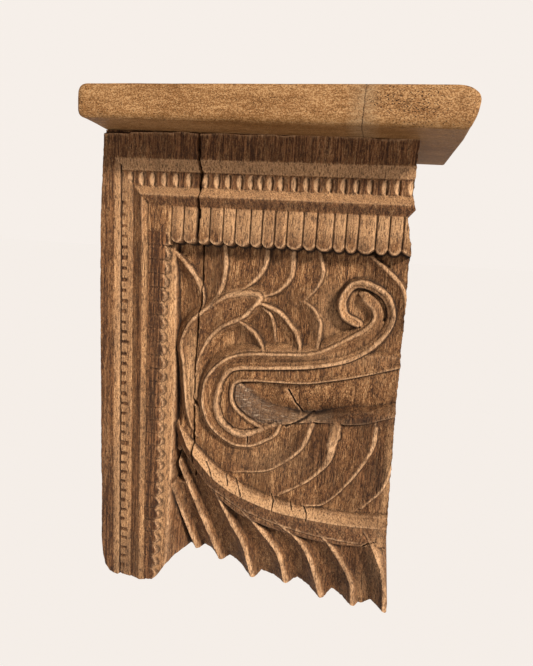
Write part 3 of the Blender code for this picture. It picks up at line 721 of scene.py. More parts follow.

# %% [markdown]
# ## Rubbed and lit edges, and the shaded cuts beside them
#
# Every carved edge is painted as a light, uneven band a few millimetres wide: partly rubbed wood,
# partly a painted highlight. Beside it runs the thin cut of the parting tool, darkened with painted
# shade. Behind it the hollow is painted darker towards the edge, as painted shade on the side that
# faces away from the light. These three are worked out from the same lines that made the carving, so
# they fit it.

# %% Rubbed and lit bands, shaded cuts and painted shade along the carved edges
SWEEP_FOOT_LINE = ((117, -389), (145, -404), (177, -420), (225, -433), (271, -439), (325, -441))
HOLLOW_CRACKS = (((217, -272), (222, -281), (225, -288), (234, -299)),
                 ((247, -297), (240, -301), (231, -306), (217, -314)))
SWEEP_CRACKS = (((128, -366), (132, -373), (136, -383)), ((163, -384), (167, -390), (171, -401)),
                ((205, -395), (209, -403), (208, -414)), ((244, -404), (248, -411), (248, -420)),
                ((152, -379), (155, -390)), ((228, -402), (231, -409)))
TIP_CRACKS = (((312, -446), (319, -439), (327, -435)), ((337, -446), (342, -450)),
              ((175, -330), (175, -341)))
LEAF_DARK = ((240, 0.35), (320, 0.85))
TIP_RUBBED_AND_LIT = (0.8, 2.2, 3.0, 3.3)
# Each band: its line, its widths along the line, how deep the cut is at its left and right, and the
# painted shade behind it. A leaf tip has two, so that painted shade lies on both of its sides.
EDGE_BANDS = [(leaf[0], leaf[3], (0.9, 0.15), read(LEAF_DARK, -leaf[0][0][1])) for leaf in LEAVES]
EDGE_BANDS += [(tip[0], TIP_RUBBED_AND_LIT, (0.2, 0.6), 0.95) for tip in TIPS]
EDGE_BANDS += [(tip[0][::-1], TIP_RUBBED_AND_LIT[::-1], (0.6, 0.2), 0.6) for tip in TIPS]
EDGE_BANDS += [
    (HOOD, (0.8, 1.6, 1.8, 1.8, 2.2, 3.4, 2.4, 1.8, 1.6, 1.0), (0.8, 0.45), 0.35),
    (OUTER_CREST, (1.2, 1.6, 1.6, 1.4, 1.8, 1.9), (1.0, 0.3), 0.3),
    (INNER_CREST, (1.8, 4.6, 4.0, 2.4, 2.0, 2.0, 2.2, 2.4, 2.4, 2.2, 2.0), (0.3, 1.0), 0.0),
    (LIP, (1.6, 2.2, 1.8, 1.1, 1.1, 1.1), (0.35, 0.9), 0.0),
    (SWEEP, (0.4, 0.6, 0.6), (0.0, 0.3), 0.0),
    (SWEEP_FOOT_LINE, (0.9, 1.1, 1.1, 0.9), (0.0, 0.8), 0.0),
]
CHANNEL_REACH = 110.0
RUBBED_AND_LIT_SHARE = 0.8
BAND_SOFTNESS = 0.9
CUT_PLACE = 1.1
CUT_HALF = 1.0
SHADE_REACH = 17.0
SHADE_FALL = 1.3
CRACK_REACH = 4.0
CRACK_SOFTNESS = 0.5
FINE_CRACK_HALF = 0.55
HOLLOW_CRACK_HALF = 0.9
SAME_HEIGHT = 0.5
CUT_DEPTH = 1.4
FINE_CRACK_DEPTH = 3.0


def edge_marks(x, z):
    """Shares of rubbed and lit band, of cut and of painted shade beside every carved edge."""
    band, cut, shade_behind = (np.zeros(x.shape) for kind in range(3))
    uneven = 1 + 0.35 * noise(x, z, 6, 8, 31) + 0.2 * noise(x, z, 1.8, 2.5, 32)
    faded = np.clip(0.8 + 0.55 * noise(x, z, 13, 15, 34), 0.3, 1)
    for points, rub, (left_cut, right_cut), dark in EDGE_BANDS:
        near, distance, side, share = beside(curve(points), x, z, SHADE_REACH)
        half = RUBBED_AND_LIT_SHARE * spread(rub, share) * uneven[near]
        fade = np.clip(8 * share + 0.6, 0, 1) * np.clip(8 * (1 - share) + 0.2, 0, 1)
        # The band is painted light: rubbed wood and a painted highlight.
        light = fade * faded[near] * np.clip((half - distance) / BAND_SOFTNESS + 0.5, 0, 1)
        band[near] = np.maximum(band[near], light)
        groove = np.clip(1 - np.abs(distance - half - CUT_PLACE) / CUT_HALF, 0, 1)
        cut[near] = np.maximum(cut[near], groove * fade * np.where(side > 0, left_cut, right_cut))
        # Behind the edge the hollow is painted darker towards it: painted shade.
        nearness = np.clip(1 - (distance - half) / SHADE_REACH, 0, 1)
        behind_edge = np.where(side < 0, dark * nearness ** SHADE_FALL, 0)
        shade_behind[near] = np.maximum(shade_behind[near], behind_edge * (distance > half))
    return band, cut * (1 - band), shade_behind * (1 - band)


def crack_marks(x, z, lines, half):
    """Share of fine cracks along the given lines."""
    crack = np.zeros(x.shape)
    for points in lines:
        near, distance = beside(np.array(points, float), x, z, CRACK_REACH)[:2]
        wide = half * (1 + 0.5 * noise(x, z, 3, 3, 33)[near])
        crack[near] = np.maximum(crack[near], np.clip((wide - distance) / CRACK_SOFTNESS + 0.5, 0, 1))
    return crack


rubbed_and_lit_sheet, cut_sheet, shade_behind_edge_sheet = edge_marks(sheet_x, sheet_z)
crack_sheet = np.maximum(crack_marks(sheet_x, sheet_z, SWEEP_CRACKS + TIP_CRACKS, FINE_CRACK_HALF),
                         crack_marks(sheet_x, sheet_z, HOLLOW_CRACKS, HOLLOW_CRACK_HALF))
leg_height = leg_tabs(sheet_x, sheet_z)[0]
frame_root = np.where(on_band_sheet, BAND_ROOT, LEG_ROOT)
fringe_sheet = fringe(sheet_x, sheet_z)[1]
unmarked = (q_sheet < frame_root) | fringe_sheet
unmarked |= (np.abs(carved - leg_height) < SAME_HEIGHT) & (sheet_x < CHANNEL_REACH)
for sheet in (rubbed_and_lit_sheet, cut_sheet, shade_behind_edge_sheet, crack_sheet):
    sheet[unmarked] = 0
heights -= CUT_DEPTH * cut_sheet + FINE_CRACK_DEPTH * crack_sheet
print("share of the face that is rubbed: %.3f" % rubbed_and_lit_sheet.mean())

# %% The long split
SPLIT_TOP = ((107.4, 0), (108.1, -20), (109.4, -24), (107.9, -29), (111.5, -43), (109.9, -56), (110.7, -64),
             (109.7, -78), (111.5, -83), (110.5, -100), (111.2, -116))
SPLIT_PANEL = ((111.8, -116), (113.5, -180), (111.3, -214), (109.6, -297), (111, -383), (109.5, -393))
SPLIT_TOP_WIDTHS = (2.6, 2.2, 2.0, 2.4, 2.6, 2.4, 2.6, 2.4, 1.8)
SPLIT_PANEL_WIDTHS = (0.9, 1.0, 1.3, 1.6, 1.3, 1.0, 1.5, 1.9, 1.6)
SPLIT_DEPTH = 24.0
SPLIT_EDGE = 0.45

smooth_heights = heights.copy()
for points, widths in ((SPLIT_TOP, SPLIT_TOP_WIDTHS), (SPLIT_PANEL, SPLIT_PANEL_WIDTHS)):
    near, distance, side, share = beside(np.array(points, float), sheet_x, sheet_z, CRACK_REACH)
    half = 0.5 * spread(widths, share) * (1 + 0.3 * noise(sheet_x, sheet_z, 40, 4, 8)[near])
    heights[near] -= SPLIT_DEPTH * np.clip((half - distance) / SPLIT_EDGE + 0.5, 0, 1)
print("deepest point: %.1f mm" % heights.min())

# %% [markdown]
# ## The block's mesh
#
# The face is a net of points fitted to the block's outline, lifted by the sheet of heights and then
# thinned where it is nearly flat. Its rim is drawn straight back in a few steps to make the sides,
# and the back is closed flat where it meets the wall.

# %% Outline and net
LEFT_SIDE = ((0, 0), (54, -2), (100, -3.5), (187, -3), (304, -1), (391, 0), (400, 1), (524, 1.5))
RIGHT_SIDE = ((0, 333), (60, 332), (72, 335), (78, 328), (105, 334), (118, 335), (300, 336), (447, 339),
              (453, 337), (475, 343), (510, 347), (524, 347))
FOOT = ((0, 478), (2, 498), (6, 512), (13, 520), (22, 524), (56, 524), (68, 522), (74, 516), (79, 508),
        (86, 503), (111, 503), (116, 500), (141, 510), (147, 509), (151, 507), (185, 521), (190, 520),
        (194, 513), (226, 517), (233, 517), (240, 512), (270, 524.4), (276, 524), (282, 514), (306, 524),
        (314, 523), (321, 515), (342, 523), (347, 522))
BACK_FOOT = ((0, 470), (8, 520), (20, 524), (70, 524), (80, 505), (347, 505))
NET_STEP = 0.75
FOOT_CHANGES_FROM = 440.0
RIGHT_CHANGES_FROM = 300.0
LEFT_CHANGES_FROM = 13.0
EDGE_NEAR = 2.0
RAGGED = 1.1
RAGGED_LEFT = 0.4
FACE_TRIANGLES = 170000
SIDE_SHARES = (0.03, 0.12, 0.35, 0.7, 1.0)


def stretched(values, start, end, new_end):
    """The values, with everything beyond start moved evenly so that end lands on new_end."""
    beyond = (values - start) / (end - start)
    return np.where(beyond > 0, start + beyond * (new_end - start), values)


def face_net():
    """Columns and rows of points over the face, fitted to the outline."""
    columns = np.linspace(0, BLOCK_WIDTH, int(BLOCK_WIDTH / NET_STEP))
    rows = np.linspace(0, BLOCK_HEIGHT, int(BLOCK_HEIGHT / NET_STEP))
    x, down = np.meshgrid(columns, rows, indexing="ij")
    foot = read(FOOT, x) - RAGGED * np.abs(noise(x, x, 5, 5, 41))
    down = stretched(down, FOOT_CHANGES_FROM, BLOCK_HEIGHT, foot)
    ragged = np.abs(noise(down, down, 9, 9, 42)) + 0.35 * np.abs(noise(down, down, 3, 3, 43))
    x = stretched(x, RIGHT_CHANGES_FROM, BLOCK_WIDTH, read(RIGHT_SIDE, down) - RAGGED * ragged)
    x = -stretched(-x, -LEFT_CHANGES_FROM, 0, -read(LEFT_SIDE, down) - RAGGED_LEFT * RAGGED * ragged)
    return x, -down


# %% Build the block
def thinned(mesh, target):
    """The same surface with fewer triangles, as a bmesh."""
    temporary = bpy.data.objects.new("thinning", mesh)
    bpy.context.scene.collection.objects.link(temporary)
    thin = temporary.modifiers.new("fewer faces", "DECIMATE")
    thin.ratio = target / len(mesh.polygons)
    evaluated = temporary.evaluated_get(bpy.context.evaluated_depsgraph_get())
    shape = bmesh.new()
    shape.from_mesh(evaluated.to_mesh())
    evaluated.to_mesh_clear()
    bpy.data.objects.remove(temporary)
    return shape


def face_mesh():
    """The carved face as an open mesh."""
    x, z = face_net()
    points = to_world(x, sampled(heights, x, z), z).reshape(-1, 3)
    index = np.arange(x.size).reshape(x.shape)
    a, b, c, d = (part.ravel() for part in (index[:-1, :-1], index[:-1, 1:], index[1:, 1:], index[1:, :-1]))
    triangles = np.concatenate([np.stack([a, b, c], -1), np.stack([a, c, d], -1)])
    mesh = bpy.data.meshes.new("carved_face")
    mesh.from_pydata(points.tolist(), [], triangles.tolist())
    return mesh


def carved_block():
    """The block: its carved face, sides drawn straight back in steps, and a flat back."""
    shape = thinned(face_mesh(), FACE_TRIANGLES)
    back_z = shape.verts.layers.float.new("back_z")
    rim = [edge for edge in shape.edges if edge.is_boundary]
    for vert in {vert for edge in rim for vert in edge.verts}:
        x, z = vert.co.x / MM + ORIGIN_X, vert.co.z / MM + ORIGIN_Z
        if z > -EDGE_NEAR:
            z = -UNDERSIDE_FALL * x - GAP
            vert.co.z = (z - ORIGIN_Z) * MM
        vert[back_z] = -stretched(-z, FOOT_CHANGES_FROM, read(FOOT, x), read(BACK_FOOT, x))
    before = 0.0
    for share in SIDE_SHARES:
        added = bmesh.ops.extrude_edge_only(shape, edges=rim)["geom"]
        for vert in [item for item in added if isinstance(item, bmesh.types.BMVert)]:
            target = Vector(to_world(vert.co.x / MM + ORIGIN_X, -BLOCK_DEPTH, vert[back_z]))
            vert.co = target + (vert.co - target) * (1 - share) / (1 - before)
        rim = [item for item in added if isinstance(item, bmesh.types.BMEdge) and item.is_boundary]
        before = share
    bmesh.ops.holes_fill(shape, edges=rim, sides=0)
    bmesh.ops.triangulate(shape, faces=[face for face in shape.faces if len(face.verts) > 4])
    bmesh.ops.recalc_face_normals(shape, faces=shape.faces)
    return shape


block_shape = carved_block()
block_mesh = bpy.data.meshes.new("carved_block")
block_shape.to_mesh(block_mesh)
block_shape.free()
block = bpy.data.objects.new("carved_block", block_mesh)
bpy.context.scene.collection.objects.link(block)
print("block triangles:", sum(len(face.vertices) - 2 for face in block_mesh.polygons))

# %% [markdown]
# ## Where the wood is worn, dirty or grey, and where light and shade are painted
#
# Hands and brushes rub the raised edges down to golden wood, while dirt and old oil stay in the
# hollows. A point that stands above its smoothed surroundings is painted lighter, partly as wear and
# partly as a painted highlight. One that lies below them is painted darker, partly as grime and
# partly as painted shade. These two, and the greying of the open hollow, are stored on the mesh as
# numbers from 0 to 1, and the finish reads them. Painting them by hand would do too, but measured
# ones fit every cut.

# %% Tints of the frame
# The border under the plank is stained and also painted darker as the plank's painted shadow, most at the
# top.
BAND_STAIN_AND_SHADOW = 0.62
BORDER_STAIN_AND_SHADOW = ((45, 0.62), (110, 0.48), (160, 0.38), (300, 0.5), (400, 0.72), (524, 0.85))
STRIP_BARE = ((400, 0.42), (520, 0.15))
TOOTH_BARE = 0.6
WALL_FADE = 4.0
WALL_SHADES = (0.45, 0.95)
HAIR = 1e-6


def frame_tints(x, z):
    """How bare and how stained the frame's wood is, part by part, with painted highlights on faces turned to
    the light and painted shade on faces, grooves and notches turned from it.
    """
    q, on_band = frame_place(x, z)
    down = -z
    facet, back = band_chips(x, q)
    notch = leg_notches(z, q)
    bead_stain = 0.1 + 0.3 * noise(x, z, 30, 5, 53)
    # Chip facets that face the light are painted light, a painted highlight. Their backs and the flats
    # between are painted dark, painted shade.
    chip_highlight = np.clip(facet * 4, 0, 1)
    chip_shade = np.maximum(0.7 * (facet == 0), np.clip(back * 3, 0, 1))
    # The leg's notches are painted darker, painted shade.
    notch_bare = 0.38 * (1 - np.clip(notch * 3, 0, 1))
    notch_shade = 0.75 * np.clip(notch * 2, 0, 1)
    rows = (  # the part of the frame, where it starts and ends, how bare it is and how stained
        (on_band, -np.inf, -BAND_BEAD, 0, BAND_STAIN_AND_SHADOW),
        (on_band, -BAND_BEAD + HAIR, -GROOVE_WIDTH, 0.7, bead_stain),
        # The band's groove is painted dark, painted shade.
        (on_band, -GROOVE_WIDTH, 0, 0, 0.5),
        (on_band, 0, BAND_DENTIL, chip_highlight, chip_shade),
        # The ledge's upward slope is painted lighter, a painted highlight. Its downward slope is painted
        # darker, painted shade.
        (on_band, BAND_DENTIL, BAND_CREST, 0.5, 0),
        (on_band, BAND_CREST, BAND_ROOT, 0, 0.55),
        (~on_band, -np.inf, -LEG_BEAD, 0, read(BORDER_STAIN_AND_SHADOW, down)),
        (~on_band, -LEG_BEAD + HAIR, -GROOVE_WIDTH, 0.5, 0),
        # The leg's groove is painted dark, painted shade.
        (~on_band, -GROOVE_WIDTH, 0, 0, 1.0),
        (~on_band, 0, LEG_DENTIL, notch_bare, notch_shade),
        # The leg's slope facing away from the light is painted dark, painted shade. Its ridge facing the
        # light is painted light, a painted highlight.
        (~on_band, LEG_DENTIL, LEG_CREST, 0, 0.6),
        (~on_band, LEG_CREST, LEG_ROOT, 0.28, 0),
    )
    bare_and_lit, stain_and_shade = np.zeros(x.shape), np.zeros(x.shape)
    for part, start, stop, bare_share, stain_share in rows:
        row = part & (q >= start) & (q < stop)
        bare_and_lit, stain_and_shade = np.where(row, bare_share, bare_and_lit), np.where(row, stain_share, stain_and_shade)
    leg_x = read(LEG_START, down) + LEG_ROOT
    end = read(LEG_TAB_END, down)
    height, on_cut = leg_tabs(x, z)
    strip_end = read(LEG_STRIP_END, down)
    below = (down > LEG_TABS_DOWN) & (q > LEG_ROOT)
    stain_and_shade[(x >= leg_x) & (x < end) & below & ~on_cut] = 1.0
    on_strip = (x >= leg_x) & on_cut & (x < strip_end) & below
    corner_share = 1.2 - (x - end + LEG_TAB_CORNER) / LEG_TAB_CORNER
    tooth = np.clip(corner_share, 0, 1) * np.clip(2 * corner_cut(z), 0, 1)
    bare_and_lit[on_strip] = (read(STRIP_BARE, down) + TOOTH_BARE * tooth)[on_strip]
    same = np.abs(sampled(carved, x, z) - height) < SAME_HEIGHT
    wall = on_cut & (x >= strip_end) & (x < CHANNEL_REACH) & same & below
    # The foot of the wall beyond the strip is painted dark, painted shade.
    stain_and_shade[wall] = np.clip(1 - (x - strip_end) / WALL_FADE, *WALL_SHADES)[wall]
    hanging = fringe(x, z)[1]
    blotch = noise(x, z, 16, 22, 52)
    fallen = (down - BAND_START - BAND_ROOT) / (FRINGE_DOWN - BAND_START - BAND_ROOT)
    low = np.clip(fallen * 2 - 0.9, 0, 1)
    bare_and_lit[hanging] = np.clip(0.5 + 0.35 * blotch - 0.6 * low, 0, 1)[hanging]
    stain_and_shade[hanging] = np.clip(low * (0.62 + 0.7 * blotch), 0, 0.9)[hanging]
    return bare_and_lit, stain_and_shade


# %% Tints of the carving
# Each place: its middle, how far it reaches across and up, and its strongest share
STAINED_PLACES = (
    ((292, -294), (62, 10), 0.95), ((318, -356), (30, 50), 0.85), ((262, -345), (18, 34), 0.7),
    ((300, -480), (64, 44), 0.7), ((30, -510), (50, 24), 0.6), ((12, -450), (14, 90), 0.5),
    # The place at (300, -25), under the plank, is stain and the plank's painted shadow.
    ((300, -25), (70, 26), 0.3), ((120, -150), (20, 24), 0.35), ((173, -271), (5, 4), 0.8),
)
BARE_PLACES = (
    ((106, -268), (7, 40), 1.0), ((334, -360), (5, 60), 0.7), ((240, -229), (70, 9), 0.35),
    ((286, -176), (26, 22), 0.3), ((260, -186), (16, 28), 0.5), ((331, -450), (8, 50), 0.6),
    ((282, -412), (46, 8), 0.3), ((160, -168), (18, 4), 0.9), ((318, -505), (8, 24), 0.4),
    ((200, -355), (40, 18), 0.25),
)
NOSE = ((157, -268), (162, -268), (172, -274), (188, -287), (204, -295), (221, -297), (240, -298),
        (268, -293), (268, -300), (232, -306), (205, -311), (191, -312), (179, -309), (167, -301),
        (159, -291), (156, -277))
# Dark places: dark stain, and painted shade in the hollow's deep groove and on the ledge's slope that faces
# down.
DARK_AND_SHADED_PLACES = (
    ((292, -297), (66, 9), 0.6), ((322, -350), (20, 44), 0.42), ((262, -340), (12, 26), 0.25),
    ((306, -486), (56, 30), 0.4), ((28, -512), (44, 18), 0.4), ((178, -500), (90, 18), 0.2),
    ((225, -352), (60, 34), 0.34), ((62, -300), (8, 230), 0.36), ((48, -500), (40, 30), 0.3),
    ((8, -450), (18, 90), 0.4), ((215, -73.5), (170, 4.5), 0.42),
)
ON_FRAME_TOO = slice(3, 7)
FRAME_LEVEL = -12.0
SWEEP_BARE_WIDTH = ((0, 2.0), (0.1, 6.0), (0.25, 8.8), (1, 8.8))
SWEEP_BARE = ((0, 0.3), (0.15, 0.95), (0.7, 0.9), (0.85, 0.45), (1, 0.3))
SWEEP_STAIN = ((0, 0), (0.12, 1))


def blots(x, z, places):
    """Soft round places: the strongest share of any at each point."""
    share = np.zeros(x.shape)
    for (middle_x, middle_z), (wide, high), most in places:
        spot = np.exp(-((x - middle_x) / wide) ** 2 - ((z - middle_z) / high) ** 2)
        share = np.maximum(share, most * spot)
    return share


def carving_tints(x, z):
    """How bare and how stained the carving is: the sweep's bevel and face, and single places."""
    bare_and_lit, stain_and_shade = blots(x, z, BARE_PLACES), blots(x, z, STAINED_PLACES)
    near, distance, side, share = beside(curve(SWEEP), x, z, SWEEP_REACH)
    light = (side > 0) & (distance < read(SWEEP_BARE_WIDTH, share))
    bare_and_lit[near] = np.maximum(bare_and_lit[near], light * read(SWEEP_BARE, share))
    face = (side < 0) & (distance < spread(SWEEP_WIDTHS, share))
    stain_and_shade[near] = np.maximum(stain_and_shade[near], 0.6 * face * read(SWEEP_STAIN, share))
    return bare_and_lit, stain_and_shade


# %% Store wear and painted highlight, grime and painted shade, greying and tints
ATTRIBUTES = ("wear_and_highlight", "grime_and_shade", "grey", "bare_and_lit", "stain_and_shade")
FINE = 1.0
LEAST_STEP = 0.12
WEAR_AND_HIGHLIGHT_STEP = 0.55
GRIME_AND_SHADE_STEP = 0.6
NOSE_SOFTNESS = 1.6
ON_FACE = 1.0

standing = smooth_heights - blurred(smooth_heights, FINE)
# Raised points are painted lighter: wear and painted highlight.
wear_and_highlight_sheet = np.clip((standing - LEAST_STEP) / WEAR_AND_HIGHLIGHT_STEP, 0, 1)
# The band's chip facets, which face the light, get a painted highlight.
facet_highlights = band_chips(sheet_x, q_sheet)[0] * (on_band_sheet & (q_sheet > 0) & (q_sheet < BAND_DENTIL))
wear_and_highlight_sheet = np.maximum.reduce([0.8 * wear_and_highlight_sheet, rubbed_and_lit_sheet, np.clip(4 * facet_highlights, 0, 0.95)])
# Points below their smoothed surroundings, the cuts beside carved edges and the dark places are painted
# darker: grime and painted shade.
grime_and_shade_sheet = np.clip((-standing - LEAST_STEP) / GRIME_AND_SHADE_STEP, 0, 1)
dark_and_shaded = blots(sheet_x, sheet_z, DARK_AND_SHADED_PLACES) * (1 - rubbed_and_lit_sheet)
grime_and_shade_sheet = np.maximum.reduce([grime_and_shade_sheet, 0.85 * cut_sheet, crack_sheet, dark_and_shaded])
nose = within(np.array(NOSE, float), sheet_x, sheet_z)
grey_sheet = blurred(nose.astype(float), NOSE_SOFTNESS)
bare_and_lit_sheet, stain_and_shade_sheet = frame_tints(sheet_x, sheet_z)
in_carving = (q_sheet > frame_root) & ~fringe_sheet & (stain_and_shade_sheet == 0)
carving_bare, carving_stain_and_shade = carving_tints(sheet_x, sheet_z)
on_frame = blots(sheet_x, sheet_z, STAINED_PLACES[ON_FRAME_TOO]) * (carved > FRAME_LEVEL)
stain_and_shade_sheet = np.maximum(stain_and_shade_sheet, on_frame)
bare_and_lit_sheet = np.maximum(bare_and_lit_sheet, carving_bare * in_carving)
# The painted shade behind carved edges is added to the stain here.
carving_stain_and_shade = np.maximum(carving_stain_and_shade, shade_behind_edge_sheet) * in_carving * (bare_and_lit_sheet < 0.5)
stain_and_shade_sheet = np.maximum(stain_and_shade_sheet, carving_stain_and_shade)


def store(mesh, name, values):
    """Keep one number for each point of a mesh."""
    kept = mesh.attributes.new(name, "FLOAT", "POINT")
    kept.data.foreach_set("value", np.ascontiguousarray(values, np.float32))


places = np.empty(len(block_mesh.vertices) * 3)
block_mesh.vertices.foreach_get("co", places)
places = places.reshape(-1, 3)
face_x, face_z = places[:, 0] / MM + ORIGIN_X, places[:, 2] / MM + ORIGIN_Z
behind = -BLOCK_DEPTH - places[:, 1] / MM
on_face = np.abs(behind - sampled(heights, face_x, face_z)) < ON_FACE
for name, sheet in zip(ATTRIBUTES, (wear_and_highlight_sheet, grime_and_shade_sheet, grey_sheet, bare_and_lit_sheet, stain_and_shade_sheet)):
    store(block_mesh, name, np.where(on_face, sampled(sheet, face_x, face_z), 0.0))
print("points on the carved face:", int(on_face.sum()), "of", len(on_face))

# %% [markdown]
# ## Colour and node helpers
#
# Colours are picked as hex values, the way a screen shows them, and turned to the linear values
# that the renderer works with. One helper adds a node with its settings, values and links, so a
# finish reads as a list of what it is made of.


# %% Helpers for materials
def linear(code):
    """A hex colour as linear red, green, blue and alpha."""
    values = [int(code[i:i + 2], 16) / 255 for i in (1, 3, 5)]
    return tuple(v / 12.92 if v <= 0.04045 else ((v + 0.055) / 1.055) ** 2.4 for v in values) + (1.0,)


def add_node(tree, kind, settings=(), values=(), links=()):
    """A node with settings (name, value), input values (socket, value) and links (socket, source)."""
    made = tree.nodes.new("ShaderNode" + kind)
    for name, value in settings:
        setattr(made, name, value)
    for socket, value in values:
        made.inputs[socket].default_value = value
    for socket, source in links:
        tree.links.new(source, made.inputs[socket])
    return made


def set_ramp(ramp_node, stops):
    """Give a colour ramp its stops of place and hex colour."""
    ramp = ramp_node.color_ramp
    while len(ramp.elements) < len(stops):
        ramp.elements.new(0.5)
    for element, (place, code) in zip(ramp.elements, stops):
        element.position = place
        element.color = linear(code)


print("a mid grey in linear light:", [round(v, 3) for v in linear("#808080")[:3]])

# %% [markdown]
# ## What both woods share
#
# The block and the plank differ in colour and grain, but they are built up in the same order: the
# patterns of the wood, its own colour, colours laid over it, then gloss and surface. Each of these
# is written once and given each wood's own values. Two separate finishes would be freer, but they
# would soon drift apart.

# %% Steps of a wood finish
WOOD_IOR = 1.5


def new_material(name):
    """An empty node material with its shader."""
    made = bpy.data.materials.new(name)
    made.use_nodes = True
    return made, made.node_tree, made.node_tree.nodes["Principled BSDF"]


def grown_patterns(tree, here, patterns):
    """The wood's patterns by name, each from its size in millimetres, its detail and its roughness."""
    grown = {}
    for name, (size, detail, rough) in patterns.items():
        scale = [1 / (MM * length) for length in size]
        scaled = add_node(tree, "Mapping", values=[("Scale", scale)], links=[("Vector", here)])
        made = add_node(tree, "TexNoise", links=[("Vector", scaled.outputs[0])],
                        values=[("Scale", 1.0), ("Detail", detail), ("Roughness", rough)])
        grown[name] = made.outputs["Fac"]
    return grown


def base_colour(tree, found, shares, stops):
    """The wood's own colour: its patterns summed by their shares, and read from a ramp."""
    total = None
    for name, share in shares:
        links = [(0, found[name])] + ([(2, total)] if total else [])
        added = add_node(tree, "Math", [("operation", "MULTIPLY_ADD")], [(1, share), (2, 0.0)], links)
        total = added.outputs[0]
    ramp = add_node(tree, "ValToRGB", links=[(0, total)])
    set_ramp(ramp, stops)
    return ramp.outputs[0]


def layered(tree, found, colour, layers):
    """Colours laid over one another: each where its stored number says, broken up by a pattern."""
    for where, texture, low, high, least, most, code in layers:
        if texture:
            amount = add_node(tree, "MapRange", values=enumerate((low, high, least, most), 1),
                              links=[(0, found[texture])])
            if where:
                amount = add_node(tree, "Math", [("operation", "MULTIPLY")],
                                  links=[(0, amount.outputs[0]), (1, found[where])])
        else:
            amount = add_node(tree, "Math", [("operation", "MULTIPLY")], [(1, most)], [(0, found[where])])
        laid = add_node(tree, "Mix", [("data_type", "RGBA")], [(7, linear(code))],
                        [(0, amount.outputs[0]), (6, colour)])
        colour = laid.outputs[2]
    return colour


def finish_wood(tree, shader, found, specular, gloss, raised, pits, bump):
    """Gloss from a pattern and its range, and a surface of raised grain with sunk pores."""
    shader.inputs["IOR"].default_value = WOOD_IOR
    shader.inputs["Specular IOR Level"].default_value = specular
    rough = add_node(tree, "MapRange", values=enumerate(gloss[1], 1), links=[(0, found[gloss[0]])])
    tree.links.new(rough.outputs[0], shader.inputs["Roughness"])
    sunk = add_node(tree, "MapRange", values=enumerate(pits, 1), links=[(0, found["pores"])])
    surface = add_node(tree, "Math", [("operation", "ADD")], links=[(0, raised), (1, sunk.outputs[0])])
    strength, depth = bump
    bumped = add_node(tree, "Bump", values=[("Strength", strength), ("Distance", depth * MM)],
                      links=[("Height", surface.outputs[0])])
    tree.links.new(bumped.outputs[0], shader.inputs["Normal"])


print("index of refraction for both woods:", WOOD_IOR)

# %% [markdown]
# ## Old carved teak
#
# Teak is a brown, oily, ring-porous hardwood. This block was cut with chisels, never sanded or
# varnished, and has dried for decades: matt, streaked along the grain, with open pores that show as
# short dark ticks. The grain stands upright. Wood has an IOR of about 1.5 and a rough surface; the
# gloss is only a faint waxy sheen, so roughness stays high.

# %% Teak: patterns in the wood
TEAK_PATTERNS = {
    "fibres": ((1.1, 1.1, 9.0), 4.0, 0.72), "bands": ((6.0, 6.0, 90.0), 3.0, 0.55),
    "patches": ((30.0, 30.0, 46.0), 3.0, 0.6), "pores": ((1.0, 1.0, 6.0), 1.0, 0.5),
    "speckle": ((1.3, 1.3, 1.5), 3.0, 0.75), "ticks": ((1.2, 1.2, 3.6), 2.0, 0.6),
    "weathering": ((11.0, 3.0, 1.3), 3.0, 0.6), "streaks": ((2.4, 2.4, 50.0), 3.0, 0.65),
    "breaks": ((3.6, 3.6, 5.0), 4.0, 0.7),
}
TEAK_RAMP = ((0.405, "#28160B"), (0.465, "#6C462A"), (0.52, "#9A6C43"), (0.59, "#CDA072"))
TEAK_SHARES = (("fibres", 0.5), ("bands", 0.26), ("speckle", 0.24))

teak, tree, shader = new_material("weathered_chiselled_teak")
here = add_node(tree, "TexCoord").outputs["Object"]
found = {name: add_node(tree, "Attribute", [("attribute_name", name)]).outputs["Fac"]
         for name in ATTRIBUTES}
found.update(grown_patterns(tree, here, TEAK_PATTERNS))
print("patterns in the teak:", len(TEAK_PATTERNS))

# %% Teak: colour in layers
# Each layer: where it lies, the pattern that breaks it up between two of its values, its least and most
# share, and its colour. The order: grain, stain with painted shade, bare wood with painted highlights,
# greying, wear with painted highlights, pores, and grime with painted shade.
TEAK_LAYERS = (
    ("", "patches", 0.40, 0.62, 0.0, 0.55, "#5F4127"),
    # Stain, and painted shade on frame faces and grooves turned from the light and behind carved edges.
    ("stain_and_shade", "speckle", 0.30, 0.62, 0.95, 0.55, "#502C12"),
    ("stain_and_shade", "streaks", 0.51, 0.60, 0.0, 0.85, "#A4724A"),
    ("stain_and_shade", "streaks", 0.47, 0.38, 0.0, 0.8, "#301A0C"),
    # Bare wood, and painted highlights on frame faces turned to the light.
    ("bare_and_lit", "speckle", 0.36, 0.56, 0.35, 1.0, "#D4A679"),
    ("grey", "weathering", 0.40, 0.60, 0.3, 0.9, "#745F4E"),
    ("grey", "fibres", 0.48, 0.60, 0.0, 0.85, "#3B2C23"),
    ("grey", "weathering", 0.56, 0.66, 0.0, 0.8, "#B59C82"),
    # Wear and painted highlight on raised edges, rubbed bands and the chip facets that face the light.
    ("wear_and_highlight", "breaks", 0.38, 0.56, 0.3, 0.95, "#E0B388"),
    ("", "pores", 0.56, 0.66, 0.0, 0.65, "#33211A"),
    ("stain_and_shade", "ticks", 0.54, 0.64, 0.0, 0.7, "#2B1910"),
    # Near-black grime and painted shade in recesses and cuts.
    ("grime_and_shade", "", 0, 0, 0, 0.92, "#1F130C"),
)
colour = layered(tree, found, base_colour(tree, found, TEAK_SHARES, TEAK_RAMP), TEAK_LAYERS)
tree.links.new(colour, shader.inputs["Base Color"])
print("layers of colour:", len(TEAK_LAYERS))

